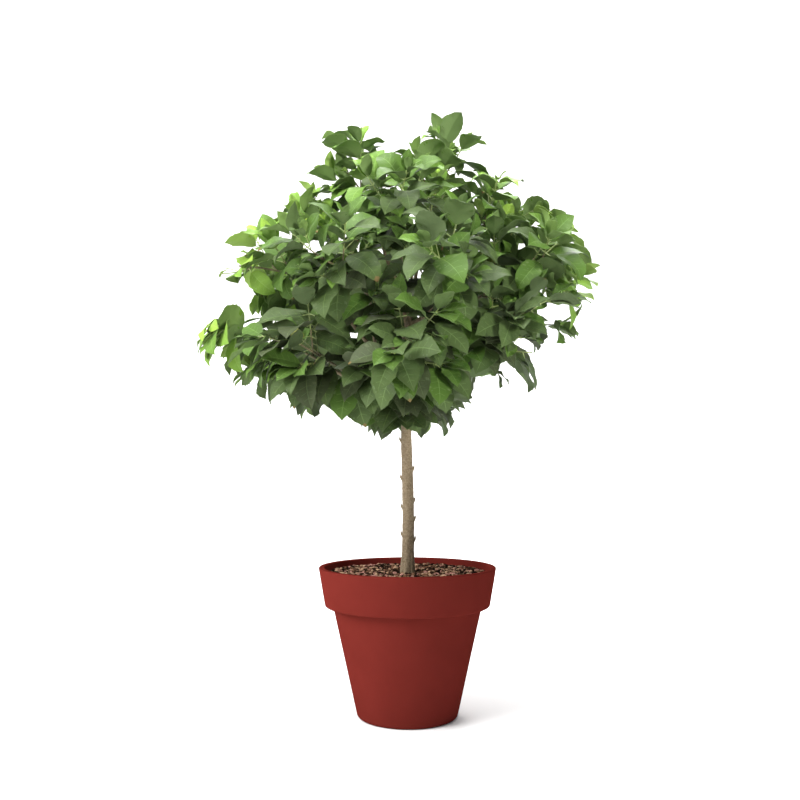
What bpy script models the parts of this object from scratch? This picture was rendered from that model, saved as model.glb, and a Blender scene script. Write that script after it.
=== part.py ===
"""A small tree in a plastic flowerpot: one clear stem under a broad head of boughs and broad leaves.

Metres, +Z up. The origin is the middle of the pot's flat underside, and the front of the plant faces -Y.
The boughs stand in tiers. Each foliage mass is one stem with shoots that branch from it by a seeded rule,
and leaves in opposite pairs fused on.
"""

import math
import random
from dataclasses import dataclass

import bmesh
import bpy
from mathutils import Quaternion, Vector
from mathutils.bvhtree import BVHTree

# Pot
POT_HEIGHT = 0.328
RIM_RADIUS = 0.200
LIP_WIDTH = 0.0135
LIP_ROUND = 0.0035
COLLAR_HEIGHT = 0.086
COLLAR_FOOT_RADIUS = 0.1848
COLLAR_ROUND = 0.005
BODY_TOP_RADIUS = 0.1672
BODY_FOOT_RADIUS = 0.1114
FOOT_ROUND = 0.008
WALL = 0.005
FLOOR = 0.007
POT_SIDES = 40
ROUND_STEPS = 2
POT_SMOOTH = math.radians(35)

# Soil
SOIL_TOP = 0.314
SOIL_BUMP = 0.0018
SOIL_BUMP_SHARE = 0.6
SOIL_FLAT_RADIUS = 0.030
SOIL_RINGS = 3

# Trunk
TRUNK_TOP = 0.800
TRUNK_FOOT_RADIUS = 0.0168
TRUNK_STEM_RADIUS = 0.0128
TRUNK_TOP_RADIUS = 0.0104
FLARE_HEIGHT = 0.034
TRUNK_SWAY = 0.0022
TRUNK_SWAY_TURNS = (1.1, 0.7)
TRUNK_SWAY_START = 1.0
TRUNK_SIDES = 14
TRUNK_RINGS = 12
TRUNK_RINGS_CROWD = 1.5
TRUNK_SMOOTH = math.radians(40)

# Limbs
SEAT_GAP = 0.0003
BOUGH_SIDES = 6
BOUGH_RINGS = 4
BOUGH_TIP_RADIUS = 0.0034
BOUGH_SMOOTH = math.radians(70)
BEND_SHARE = 0.45
FORK_SHARE = 0.45
FORK_RADIUS_SHARE = 0.85
LEADER_TIP = (0.032, 0.000, 1.050)
LEADER_RADIUS = 0.0072
STEM_SIDES = 4
STEM_RINGS = 4
STEM_TIP_RADIUS = 0.0019
SHOOT_SIDES = 3
SHOOT_RINGS = 2
SHOOT_ROOT_SHARE = 0.8
SHOOT_TIP_RADIUS = 0.0013
SHOOTS = 5
FIRST_SHOOT_SHARE = 0.22
LAST_SHOOT_SHARE = 0.90
SHOOT_OPENING = 68
SHOOT_OPENING_CLOSES = 30
SHOOT_OPENING_SPREAD = 6
SHOOT_SIZE = 1.05
SHOOT_SIZE_FALL = 0.25
SHOOT_SIZE_SPREAD = 0.12
SHOOT_LIFT_AT_ROOT = 0.6
SHOOT_LIFT_AT_TIP = 0.25
GOLDEN_ANGLE = math.radians(137.5)
# Turn about the stem, in radians, and length of each try at a shoot.
SHOOT_TRIES = ((0.0, 1.0), (0.6, 0.9), (-0.6, 0.9), (1.2, 0.75), (-1.2, 0.75), (0.0, 0.6))

# Leaves
LEAF_LENGTH = 0.116
LEAF_WIDTH_SHARE = 0.68
LEAF_THICK_SHARE = 0.022
LEAF_ARCH_SHARE = 0.07
LEAF_DROOP_SHARE = 0.20
WIDEST_SHARE = 0.44
LEAF_SINK = 0.3
PAIRS_ON_SHOOT = 2
FIRST_PAIR_SHARE = 0.50
PAIRS_ON_STEM = 2
FIRST_STEM_PAIR_SHARE = 0.75
LAST_PAIR_SHARE = 0.93
PAIR_STAGGER = 0.025
PAIR_TURN_SPREAD = 0.25
LEAF_OPENING = 78
LEAF_OPENING_CLOSES = 34
LEAF_OPENING_SPREAD = 8
LEAF_SIZE = 1.08
LEAF_SIZE_FALL = 0.28
LEAF_SIZE_SPREAD = 0.10
HANG_SPREAD = 0.3
CLEARANCE = 0.0008
BLADE_INSET = 0.18
# Turn about the vertical, dip and size of each try at a leaf.
LEAF_TRIES = (
    (0.0, 0.0, 1.0),
    (0.4, 0.0, 0.95),
    (-0.4, 0.0, 0.95),
    (0.0, 0.35, 0.95),
    (0.0, -0.35, 0.95),
    (0.6, 0.2, 0.82),
    (-0.6, 0.2, 0.82),
    (0.0, 0.5, 0.82),
    (0.9, 0.0, 0.75),
    (-0.9, 0.0, 0.75),
    (0.0, 0.0, 0.70),
)
# A mass keeps to the points nearest to its stem from this share of the stem on.
OWN_SPACE_FROM = 0.35
MERGE_DISTANCE = 1e-7
ATTEMPTS = 8

UP = Vector((0, 0, 1))
SIDES = ("left", "front_left", "front", "front_right", "right", "back_right", "back", "back_left")


@dataclass
class Habit:
    """How the shoots and leaves of a mass stand."""

    shoot_length: float
    lift: float
    hang: float
    facing: float
    leaf_scale: float


@dataclass
class Tier:
    """A ring of boughs and foliage masses: where they leave, and how far and how high each mass reaches."""

    name: str
    sides: tuple
    turn: float
    seats: tuple
    bough_reach: float
    bough_rise: float
    radius: float
    lift: float
    reaches: tuple
    heights: tuple
    habit: Habit


LOW = Tier(
    name="low",
    sides=SIDES,
    turn=0,
    seats=(0.706, 0.730),
    bough_reach=0.170,
    bough_rise=0.40,
    radius=0.0054,
    lift=0.20,
    reaches=(0.415, 0.335, 0.300, 0.310, 0.345, 0.335, 0.330, 0.335),
    heights=(0.880, 0.810, 0.800, 0.862, 0.948, 0.875, 0.830, 0.825),
    habit=Habit(shoot_length=0.100, lift=0.10, hang=0.70, facing=1.0, leaf_scale=1.08),
)
MID = Tier(
    name="mid",
    sides=SIDES,
    turn=14,
    seats=(0.757, 0.776),
    bough_reach=0.150,
    bough_rise=0.62,
    radius=0.0058,
    lift=0.75,
    reaches=(0.385, 0.350, 0.345, 0.350, 0.390, 0.365, 0.350, 0.355),
    heights=(0.995, 0.965, 0.950, 0.985, 1.075, 1.020, 0.975, 1.000),
    habit=Habit(shoot_length=0.105, lift=0.30, hang=0.40, facing=0.8, leaf_scale=1.0),
)
UPPER = Tier(
    name="upper",
    sides=("left", "front", "right", "back"),
    turn=-8,
    seats=(0.20, 0.42),
    bough_reach=0.095,
    bough_rise=0.55,
    radius=0.0046,
    lift=0.60,
    reaches=(0.225, 0.205, 0.235, 0.205),
    heights=(1.112, 1.110, 1.125, 1.140),
    habit=Habit(shoot_length=0.105, lift=0.40, hang=0.25, facing=0.6, leaf_scale=0.95),
)
TOP_HABIT = Habit(shoot_length=0.100, lift=0.45, hang=0.15, facing=0.5, leaf_scale=0.90)
TOP_LEFT_SEAT = 0.62
TOP_LEFT_BOUGH_TIP = (-0.060, 0.014, 1.085)
TOP_LEFT_FAR = (-0.142, 0.010, 1.245)
TOP_RIGHT_FAR = (0.088, -0.005, 1.280)
SKIRT_HABIT = Habit(shoot_length=0.070, lift=0.05, hang=0.9, facing=1.0, leaf_scale=1.0)
SKIRT_SIDES = (("front", 262), ("back", 75))
SKIRT_SEAT = 0.676
SKIRT_REACH = 0.125
SKIRT_HEIGHT = 0.745
SKIRT_RADIUS = 0.0034
SKIRT_LIFT = 0.25


@dataclass
class Limb:
    """A tapering limb: points, directions and radii along its curve, and the plane that it starts in."""

    points: list
    directions: list
    radii: list
    seat: tuple = None

    def at(self, share):
        """Point, direction and radius at a share of the way along."""
        place = share * (len(self.points) - 1)
        index = min(int(place), len(self.points) - 2)
        part = place - index
        point = self.points[index].lerp(self.points[index + 1], part)
        direction = self.directions[index].lerp(self.directions[index + 1], part).normalized()
        radius = self.radii[index] + (self.radii[index + 1] - self.radii[index]) * part
        return point, direction, radius

    def mesh(self, sides, grow=0.0):
        """The limb as a closed tube, thickened by grow."""
        return tube(self.points, self.directions, [r + grow for r in self.radii], sides, self.seat)


@dataclass
class Mass:
    """One mass of leaves: its name, the limb of its stem and its habit."""

    name: str
    stem: Limb
    habit: Habit


@dataclass
class Plan:
    """What one mass is made of: its shoots, and the corners of each of its leaves."""

    shoots: list
    leaves: list

    def tree(self):
        """All leaves as one search tree."""
        points, faces = [], []
        for leaf in self.leaves:
            faces += [tuple(len(points) + i for i in face) for face in LEAF_FACES]
            points += leaf
        return BVHTree.FromPolygons(points, faces)


def material(name, colour, roughness):
    """A Principled material of one colour."""
    made = bpy.data.materials.new(name)
    made.use_nodes = True
    shader = made.node_tree.nodes["Principled BSDF"]
    shader.inputs["Base Color"].default_value = (*colour, 1)
    shader.inputs["Roughness"].default_value = roughness
    shader.inputs["Metallic"].default_value = 0
    return made


def add_object(name, bm, finish, smooth_angle=None, collection=None):
    """Turns a bmesh into a named object."""
    bmesh.ops.recalc_face_normals(bm, faces=bm.faces)
    mesh = bpy.data.meshes.new(name)
    bm.to_mesh(mesh)
    bm.free()
    if finish:
        mesh.materials.append(finish)
    if smooth_angle is not None:
        mesh.shade_smooth()
        mesh.set_sharp_from_angle(angle=smooth_angle)
    made = bpy.data.objects.new(name, mesh)
    (collection or bpy.context.scene.collection).objects.link(made)
    return made


def rounded(corner, before, after, radius):
    """Points of a round that replaces a corner of a profile, each (radius, height)."""
    corner, before, after = Vector(corner), Vector(before), Vector(after)
    start = corner + (before - corner).normalized() * radius
    end = corner + (after - corner).normalized() * radius
    points = []
    for step in range(ROUND_STEPS + 1):
        share = step / ROUND_STEPS
        points.append(start.lerp(corner, share).lerp(corner.lerp(end, share), share))
    return [tuple(point) for point in points]


def turned(profile):
    """Spins a profile of (radius, height) points, which starts and ends on the axis, into a closed bmesh."""
    bm = bmesh.new()
    verts = [bm.verts.new((radius, 0, height)) for radius, height in profile]
    edges = [bm.edges.new(pair) for pair in zip(verts, verts[1:])]
    bmesh.ops.spin(
        bm, geom=verts + edges, cent=(0, 0, 0), axis=UP, angle=math.tau, steps=POT_SIDES, use_merge=True
    )
    bmesh.ops.remove_doubles(bm, verts=bm.verts, dist=1e-6)
    return bm


def inner_radius(height):
    """Radius of the pot's inside at a height."""
    collar_foot = POT_HEIGHT - COLLAR_HEIGHT
    throat = BODY_TOP_RADIUS - WALL
    if height > collar_foot:
        share = (height - collar_foot) / COLLAR_HEIGHT
        return throat + (RIM_RADIUS - LIP_WIDTH - throat) * share
    share = (height - FLOOR) / (collar_foot - FLOOR)
    return BODY_FOOT_RADIUS - WALL + (throat - BODY_FOOT_RADIUS + WALL) * share


def build_pot(finish):
    """The moulded flowerpot: a tapering body under a deep collar with a rounded lip."""
    collar_foot = POT_HEIGHT - COLLAR_HEIGHT
    foot = (BODY_FOOT_RADIUS, 0)
    body_top = (BODY_TOP_RADIUS, collar_foot)
    collar_low = (COLLAR_FOOT_RADIUS, collar_foot)
    rim = (RIM_RADIUS, POT_HEIGHT)
    lip = (RIM_RADIUS - LIP_WIDTH, POT_HEIGHT)
    throat = (inner_radius(collar_foot), collar_foot)
    profile = [(0, 0)]
    profile += rounded(foot, (0, 0), body_top, FOOT_ROUND)
    profile += [body_top]
    profile += rounded(collar_low, body_top, rim, COLLAR_ROUND)
    profile += rounded(rim, collar_low, lip, LIP_ROUND)
    profile += rounded(lip, rim, throat, LIP_ROUND)
    profile += [throat, (inner_radius(FLOOR), FLOOR), (0, FLOOR)]
    return add_object("pot", turned(profile), finish, POT_SMOOTH)


def soil_bump(angle, radius):
    """Height of the soil above its mean level: low humps that die out round the trunk."""
    broad = math.sin(3 * angle + 40 * radius)
    fine = math.sin(7 * angle - 55 * radius)
    fade = min(1, max(0, radius / SOIL_FLAT_RADIUS - 1))
    return SOIL_BUMP * (broad + SOIL_BUMP_SHARE * fine) * fade


def build_soil(finish):
    """The potting soil, which fills the pot with a small gap all round and has a gently uneven top."""
    collar_foot = POT_HEIGHT - COLLAR_HEIGHT
    floor = FLOOR + SEAT_GAP
    clear = 2 * SEAT_GAP
    edge = inner_radius(SOIL_TOP) - clear
    profile = [(0, floor), (inner_radius(floor) - clear, floor)]
    profile += [(inner_radius(collar_foot) - clear, collar_foot), (edge, SOIL_TOP)]
    for ring in range(SOIL_RINGS, -1, -1):
        share = ring / (SOIL_RINGS + 1)
        profile.append((SOIL_FLAT_RADIUS + (edge - SOIL_FLAT_RADIUS) * share, SOIL_TOP))
    profile.append((0, SOIL_TOP))
    bm = turned(profile)
    for vert in bm.verts:
        radius = math.hypot(vert.co.x, vert.co.y)
        if vert.co.z > SOIL_TOP - 1e-4 and radius < edge - 1e-3:
            vert.co.z += soil_bump(math.atan2(vert.co.y, vert.co.x), radius)
    return add_object("potting_soil", bm, finish)


def trunk_radius(height):
    """Radius of the trunk at a height: a flare at the foot, then a slow taper."""
    above = height - SOIL_TOP
    share = above / (TRUNK_TOP - SOIL_TOP)
    stem = TRUNK_STEM_RADIUS + (TRUNK_TOP_RADIUS - TRUNK_STEM_RADIUS) * share
    return stem + (TRUNK_FOOT_RADIUS - TRUNK_STEM_RADIUS) * math.exp(-((above / FLARE_HEIGHT) ** 2))


def trunk_centre(height):
    """Middle of the trunk at a height: nearly upright, with a slight sway."""
    share = (height - SOIL_TOP) / (TRUNK_TOP - SOIL_TOP)
    turns_x, turns_y = TRUNK_SWAY_TURNS
    sway_x = math.sin(math.tau * share * turns_x)
    sway_y = turns_y * math.sin(math.tau * share * turns_y + TRUNK_SWAY_START)
    return Vector((sway_x * TRUNK_SWAY, sway_y * TRUNK_SWAY, height))


def ring_side(direction):
    """A direction square to a limb's own."""
    reference = Vector((0.31, 0.95, 0.03)) if abs(direction.z) > 0.8 else UP
    return direction.cross(reference).normalized()


def tube(points, directions, radii, sides, seat=None):
    """A closed tapering tube along points. A seat is the point and normal of its first ring's plane."""
    bm = bmesh.new()
    rings = []
    side = ring_side(directions[0])
    for index, (point, direction, radius) in enumerate(zip(points, directions, radii)):
        side = (side - direction * side.dot(direction)).normalized()
        over = side.cross(direction)
        ring = []
        for corner in range(sides):
            angle = math.tau * (corner + 0.5) / sides
            place = point + radius * (math.cos(angle) * side + math.sin(angle) * over)
            if seat and index == 0:
                origin, normal = seat
                place += direction * ((origin - place).dot(normal) / direction.dot(normal))
            ring.append(bm.verts.new(place))
        rings.append(ring)
    for low, high in zip(rings, rings[1:]):
        for corner in range(sides):
            after = (corner + 1) % sides
            bm.faces.new((low[corner], low[after], high[after], high[corner]))
    bm.faces.new(reversed(rings[0]))
    bm.faces.new(rings[-1])
    bmesh.ops.recalc_face_normals(bm, faces=bm.faces)
    return bm


def grow_trunk():
    """The trunk's curve, from its flat cut on the soil to the fork."""
    foot = SOIL_TOP + SEAT_GAP
    shares = [(ring / (TRUNK_RINGS - 1)) ** TRUNK_RINGS_CROWD for ring in range(TRUNK_RINGS)]
    heights = [foot + (TRUNK_TOP - foot) * share for share in shares]
    points = [trunk_centre(height) for height in heights]
    return Limb(points, [UP] * TRUNK_RINGS, [trunk_radius(height) for height in heights])


def limb_curve(start, direction, end, radii_ends, rings, seat):
    """A limb that leaves in one direction and bends to its end."""
    control = start + direction * (end - start).length * BEND_SHARE
    first, last = radii_ends
    limb = Limb([], [], [], seat)
    for ring in range(rings):
        share = ring / (rings - 1)
        before, after = start.lerp(control, share), control.lerp(end, share)
        limb.points.append(before.lerp(after, share))
        limb.directions.append((after - before).normalized())
        limb.radii.append(first + (last - first) * share)
    return limb


def side_limb(centre, axis, carrier_radius, end, lift, radii_ends, rings):
    """A limb from the side of another. Its first ring lies in a plane just clear of the carrier's side."""
    outward = end - centre
    outward = (outward - axis * outward.dot(axis)).normalized()
    start = centre + outward * (carrier_radius + SEAT_GAP)
    direction = (outward + axis * lift).normalized()
    return limb_curve(start, direction, end, radii_ends, rings, (start, outward))


def end_limb(carrier, end, radii_ends, rings):
    """A limb that goes on from the flat end of another."""
    direction = carrier.directions[-1]
    start = carrier.points[-1] + direction * SEAT_GAP
    return limb_curve(start, direction, end, radii_ends, rings, (start, direction))


def around(reach, azimuth, height):
    """The point at a distance from the origin's upright, an azimuth in degrees and a height."""
    angle = math.radians(azimuth)
    return Vector((reach * math.cos(angle), reach * math.sin(angle), height))


def grow_tier(tier, leader, boughs, masses):
    """The boughs and masses of a tier, on the leader or on the trunk, where every second bough is a fork."""
    for index, side in enumerate(tier.sides):
        azimuth = 180 + tier.turn + 360 / len(tier.sides) * index
        far = around(tier.reaches[index], azimuth, tier.heights[index])
        root_radius = tier.radius
        if leader:
            first, last = tier.seats
            centre, axis, carrier_radius = leader.at(first + (last - first) * index / (len(tier.sides) - 1))
        else:
            seat = tier.seats[index // 2 % 2]
            centre, axis, carrier_radius = trunk_centre(seat), UP, trunk_radius(seat - tier.radius)
        tip = around(tier.bough_reach, azimuth, centre.z + (far.z - centre.z) * tier.bough_rise)
        if index % 2 and not leader:
            neighbour = boughs[f"bough_{tier.name}_{tier.sides[index - 1]}"]
            centre, axis, carrier_radius = neighbour.at(FORK_SHARE)
            root_radius = carrier_radius * FORK_RADIUS_SHARE
        ends = (root_radius, BOUGH_TIP_RADIUS)
        bough = side_limb(centre, axis, carrier_radius, tip, tier.lift, ends, BOUGH_RINGS)
        boughs[f"bough_{tier.name}_{side}"] = bough
        masses.append(mass_on(bough, far, f"foliage_{tier.name}_{side}", tier.habit))


def mass_on(bough, far, name, habit):
    """A mass whose stem goes on from a bough's tip."""
    return Mass(name, end_limb(bough, far, (BOUGH_TIP_RADIUS, STEM_TIP_RADIUS), STEM_RINGS), habit)


def grow_top(boughs, masses):
    """The leader, its side bough and the two masses at the top."""
    trunk_end = Limb([trunk_centre(TRUNK_TOP)], [UP], [TRUNK_TOP_RADIUS])
    leader = end_limb(trunk_end, Vector(LEADER_TIP), (LEADER_RADIUS, BOUGH_TIP_RADIUS), BOUGH_RINGS)
    centre, axis, radius = leader.at(TOP_LEFT_SEAT)
    ends = (radius * FORK_RADIUS_SHARE, BOUGH_TIP_RADIUS)
    side_bough = side_limb(centre, axis, radius, Vector(TOP_LEFT_BOUGH_TIP), UPPER.lift, ends, BOUGH_RINGS)
    boughs["bough_leader"] = leader
    boughs["bough_top_left"] = side_bough
    masses.append(mass_on(leader, Vector(TOP_RIGHT_FAR), "foliage_top_right", TOP_HABIT))
    masses.append(mass_on(side_bough, Vector(TOP_LEFT_FAR), "foliage_top_left", TOP_HABIT))
    return leader


def grow_skirt(masses):
    """The small masses that hang round the trunk under the crown."""
    for side, azimuth in SKIRT_SIDES:
        far = around(SKIRT_REACH, azimuth, SKIRT_HEIGHT)
        centre, radius = trunk_centre(SKIRT_SEAT), trunk_radius(SKIRT_SEAT - SKIRT_RADIUS)
        stem = side_limb(centre, UP, radius, far, SKIRT_LIFT, (SKIRT_RADIUS, STEM_TIP_RADIUS), STEM_RINGS)
        masses.append(Mass(f"foliage_skirt_{side}", stem, SKIRT_HABIT))


def varied(size, spread, draw):
    """A size that varies at random by up to a share of itself."""
    return size * draw.uniform(1 - spread, 1 + spread)


def grow_shoots(mass, draw):
    """The shoots of a mass, by the golden angle round its stem: for each, a list of places to try in turn."""
    phase = draw.uniform(0, math.tau)
    tries = []
    for index in range(SHOOTS):
        share = FIRST_SHOOT_SHARE + (LAST_SHOOT_SHARE - FIRST_SHOOT_SHARE) * index / (SHOOTS - 1)
        base, along, thickness = mass.stem.at(share)
        spread = draw.uniform(-SHOOT_OPENING_SPREAD, SHOOT_OPENING_SPREAD)
        opening = math.radians(SHOOT_OPENING - SHOOT_OPENING_CLOSES * share + spread)
        size = varied(SHOOT_SIZE - SHOOT_SIZE_FALL * share, SHOOT_SIZE_SPREAD, draw)
        ends = (thickness * SHOOT_ROOT_SHARE, SHOOT_TIP_RADIUS)
        places = []
        for turn, shrink in SHOOT_TRIES:
            radial = Quaternion(along, phase + index * GOLDEN_ANGLE + turn) @ ring_side(along)
            direction = along * math.cos(opening) + radial * math.sin(opening)
            direction = (direction + UP * mass.habit.lift * SHOOT_LIFT_AT_ROOT).normalized()
            length = mass.habit.shoot_length * size * shrink
            end = base + (direction + UP * mass.habit.lift * SHOOT_LIFT_AT_TIP) * length
            places.append(limb_curve(base, direction, end, ends, SHOOT_RINGS, None))
        tries.append(places)
    return tries


def leaf_sites(limb, pairs, first_share, hang, draw):
    """Places for leaves along a shoot or stem, in opposite pairs: base point, direction and size."""
    sites = []
    turn = draw.uniform(0, math.tau)
    for pair in range(pairs):
        share = first_share + (LAST_PAIR_SHARE - first_share) * pair / (pairs - 1)
        for half in range(2):
            point, along, radius = limb.at(share + PAIR_STAGGER * half)
            spin = turn + pair * math.pi / 2 + half * math.pi
            spin += draw.uniform(-PAIR_TURN_SPREAD, PAIR_TURN_SPREAD)
            radial = Quaternion(along, spin) @ ring_side(along)
            spread = draw.uniform(-LEAF_OPENING_SPREAD, LEAF_OPENING_SPREAD)
            opening = math.radians(LEAF_OPENING - LEAF_OPENING_CLOSES * share + spread)
            direction = along * math.cos(opening) + radial * math.sin(opening)
            direction = (direction - UP * varied(hang, HANG_SPREAD, draw)).normalized()
            size = varied(LEAF_SIZE - LEAF_SIZE_FALL * share, LEAF_SIZE_SPREAD, draw)
            sites.append((point - direction * radius * LEAF_SINK, direction, size))
    return sites


def leaf_upper(direction, base, facing):
    """The upper side of a leaf that points in a direction: towards the sky, and away from the trunk."""
    outward = Vector((base.x, base.y, 0)).normalized()
    upper = UP + outward * facing
    return (upper - direction * upper.dot(direction)).normalized()


def leaf_points(base, direction, upper, length, grow=0.0):
    """The six corners of a leaf: base, right, tip, left, then its middle above and below."""
    width = length * LEAF_WIDTH_SHARE + 2 * grow
    thick = length * LEAF_THICK_SHARE + 2 * grow
    side = direction.cross(upper)
    middle = base + direction * length * WIDEST_SHARE + upper * length * LEAF_ARCH_SHARE
    edge = middle + upper * length * LEAF_ARCH_SHARE / 2
    tip = base + direction * (length + grow) - upper * length * LEAF_DROOP_SHARE
    right = edge + side * width / 2
    left = edge - side * width / 2
    return [base, right, tip, left, middle + upper * thick / 2, middle - upper * thick / 2]


LEAF_FACES = ((0, 1, 4), (1, 2, 4), (2, 3, 4), (3, 0, 4), (1, 0, 5), (2, 1, 5), (3, 2, 5), (0, 3, 5))


class Space:
    """The space that each mass keeps to: nearer to the outer part of its own stem than to any other's."""

    def __init__(self, masses):
        """Takes the outer part of each mass's stem as a straight stick."""
        self.sticks = {m.name: (m.stem.at(OWN_SPACE_FROM)[0], m.stem.points[-1]) for m in masses}

    def distance(self, name, point):
        """Distance from a point to the outer part of a stem."""
        start, end = self.sticks[name]
        along = end - start
        share = min(1, max(0, (point - start).dot(along) / along.length_squared))
        return (point - start - along * share).length

    def holds(self, name, points):
        """True if all points are in the mass's own space."""
        for point in points:
            own = self.distance(name, point) + CLEARANCE
            if any(self.distance(other, point) < own for other in self.sticks if other != name):
                return False
        return True


def search_tree(bm):
    """A search tree of a bmesh, which it then frees."""
    tree = BVHTree.FromBMesh(bm)
    bm.free()
    return tree


def meets(tree, others):
    """True if a search tree meets any of the others."""
    return any(tree.overlap(other) for other in others)


def blade_tree(leaf, inset=0.0):
    """A search tree of a leaf, with its base drawn in by a share, so as to leave out the part in its twig."""
    base = leaf[0].lerp((leaf[4] + leaf[5]) / 2, inset)
    return BVHTree.FromPolygons([base] + leaf[1:], LEAF_FACES)


def place_leaf(mass, site, space, obstacles, neighbours):
    """A leaf's corners at a site, turned or made smaller until it is free, or None."""
    base, direction, size = site
    for turn, dip, shrink in LEAF_TRIES:
        aim = (Quaternion(UP, turn) @ direction - UP * dip).normalized()
        upper = leaf_upper(aim, base, mass.habit.facing)
        length = LEAF_LENGTH * mass.habit.leaf_scale * size * shrink
        guard = leaf_points(base, aim, upper, length, CLEARANCE)
        if not space.holds(mass.name, guard) or meets(blade_tree(guard), obstacles):
            continue
        if not meets(blade_tree(guard, BLADE_INSET), neighbours):
            return leaf_points(base, aim, upper, length)
    return None


def first_free(mass, places, space, obstacles):
    """The first of some places for a shoot that is in its mass's space and clear of every limb, or None."""
    for shoot in places:
        guard = search_tree(shoot.mesh(SHOOT_SIDES, CLEARANCE))
        if space.holds(mass.name, shoot.points[1:]) and not meets(guard, obstacles):
            return shoot
    return None


def plan_mass(mass, space, obstacles, attempt):
    """Chooses the shoots and leaves of a mass that keep to its space and clear of every limb."""
    draw = random.Random(f"{mass.name} {attempt}")
    shoots, sites, neighbours = [], [], [search_tree(mass.stem.mesh(STEM_SIDES))]
    for places in grow_shoots(mass, draw):
        shoot = first_free(mass, places, space, obstacles)
        if shoot:
            shoots.append(shoot)
            sites += leaf_sites(shoot, PAIRS_ON_SHOOT, FIRST_PAIR_SHARE, mass.habit.hang, draw)
            neighbours.append(search_tree(shoot.mesh(SHOOT_SIDES)))
    sites += leaf_sites(mass.stem, PAIRS_ON_STEM, FIRST_STEM_PAIR_SHARE, mass.habit.hang, draw)
    leaves = []
    for site in sites:
        leaf = place_leaf(mass, site, space, obstacles, neighbours)
        if leaf:
            leaves.append(leaf)
            neighbours.append(blade_tree(leaf, BLADE_INSET))
    return Plan(shoots, leaves)


def leaf_mesh(leaf):
    """One leaf as a closed bmesh."""
    bm = bmesh.new()
    verts = [bm.verts.new(corner) for corner in leaf]
    for face in LEAF_FACES:
        bm.faces.new([verts[i] for i in face])
    return bm


def keep_largest_shell(mesh):
    """Leaves only the largest shell of a mesh: loose scraps go, and sealed hollows are filled."""
    bm = bmesh.new()
    bm.from_mesh(mesh)
    bmesh.ops.triangulate(bm, faces=bm.faces)
    unseen, shells = set(bm.verts), []
    while unseen:
        shell, front = [], [unseen.pop()]
        while front:
            vert = front.pop()
            shell.append(vert)
            linked = {edge.other_vert(vert) for edge in vert.link_edges} & unseen
            unseen -= linked
            front += linked
        shells.append(shell)
    shells.sort(key=len)
    for shell in shells[:-1]:
        bmesh.ops.delete(bm, geom=shell, context="VERTS")
    bm.to_mesh(mesh)
    bm.free()


def is_sound(mesh):
    """True if a mesh is closed and nowhere meets itself."""
    bm = bmesh.new()
    bm.from_mesh(mesh)
    bmesh.ops.remove_doubles(bm, verts=bm.verts, dist=MERGE_DISTANCE)
    sound = all(edge.is_manifold for edge in bm.edges) and all(vert.is_manifold for vert in bm.verts)
    bm.free()
    return sound


def fused(stem_bm, piece_bms):
    """The mesh of a stem joined with its pieces in one Boolean union, or None where that is unsound."""
    pieces = bpy.data.collections.new("pieces")
    bpy.context.scene.collection.children.link(pieces)
    for bm in piece_bms:
        add_object("piece", bm, None, collection=pieces)
    stem = add_object("stem", stem_bm, None)
    found = None
    for solver in ("EXACT", "MANIFOLD"):
        union = stem.modifiers.new("union", "BOOLEAN")
        union.operation = "UNION"
        union.operand_type = "COLLECTION"
        union.collection = pieces
        union.solver = solver
        evaluated = stem.evaluated_get(bpy.context.evaluated_depsgraph_get())
        joined = bpy.data.meshes.new_from_object(evaluated)
        stem.modifiers.clear()
        keep_largest_shell(joined)
        if is_sound(joined):
            found = joined
            break
    for piece in list(pieces.objects) + [stem]:
        bpy.data.objects.remove(piece)
    bpy.data.collections.remove(pieces)
    return found


def build_mass(mass, space, obstacles, finish):
    """One mass of leaves on its shoots, fused to its stem. It is drawn again while its union is unsound."""
    for attempt in range(ATTEMPTS):
        plan = plan_mass(mass, space, obstacles, attempt)
        shoots = [shoot.mesh(SHOOT_SIDES) for shoot in plan.shoots]
        joined = fused(mass.stem.mesh(STEM_SIDES), shoots + [leaf_mesh(leaf) for leaf in plan.leaves])
        if joined:
            break
    else:
        raise RuntimeError(f"{mass.name} has no sound union")
    joined.name = mass.name
    joined.materials.append(finish)
    bpy.context.scene.collection.objects.link(bpy.data.objects.new(mass.name, joined))
    print(f"{mass.name}: {len(plan.shoots)} shoots, {len(plan.leaves)} leaves, {len(joined.polygons)} faces")
    return plan


def main():
    """Builds the pot, the soil, the trunk, the boughs and the masses of leaves."""
    for old in list(bpy.data.objects):
        bpy.data.objects.remove(old)
    plastic = material("red_plastic", (0.29, 0.035, 0.025), 0.45)
    earth = material("potting_soil", (0.10, 0.065, 0.045), 0.95)
    bark = material("bark", (0.26, 0.20, 0.13), 0.85)
    leaf = material("leaf", (0.06, 0.15, 0.03), 0.50)
    build_pot(plastic)
    build_soil(earth)
    trunk = grow_trunk()
    add_object("trunk", trunk.mesh(TRUNK_SIDES), bark, TRUNK_SMOOTH)
    boughs, masses = {}, []
    leader = grow_top(boughs, masses)
    grow_tier(UPPER, leader, boughs, masses)
    grow_tier(MID, None, boughs, masses)
    grow_tier(LOW, None, boughs, masses)
    grow_skirt(masses)
    obstacles = [search_tree(trunk.mesh(TRUNK_SIDES, CLEARANCE))]
    for name, bough in boughs.items():
        add_object(name, bough.mesh(BOUGH_SIDES), bark, BOUGH_SMOOTH)
        obstacles.append(search_tree(bough.mesh(BOUGH_SIDES, CLEARANCE)))
    space = Space(masses)
    stem_trees = {mass.name: search_tree(mass.stem.mesh(STEM_SIDES, CLEARANCE)) for mass in masses}
    plans = []
    for mass in masses:
        others = [tree for name, tree in stem_trees.items() if name != mass.name]
        plan = build_mass(mass, space, obstacles + others, leaf)
        obstacles.append(plan.tree())
        plans.append(plan)
    print("leaves in all", sum(len(plan.leaves) for plan in plans))


main()
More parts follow.
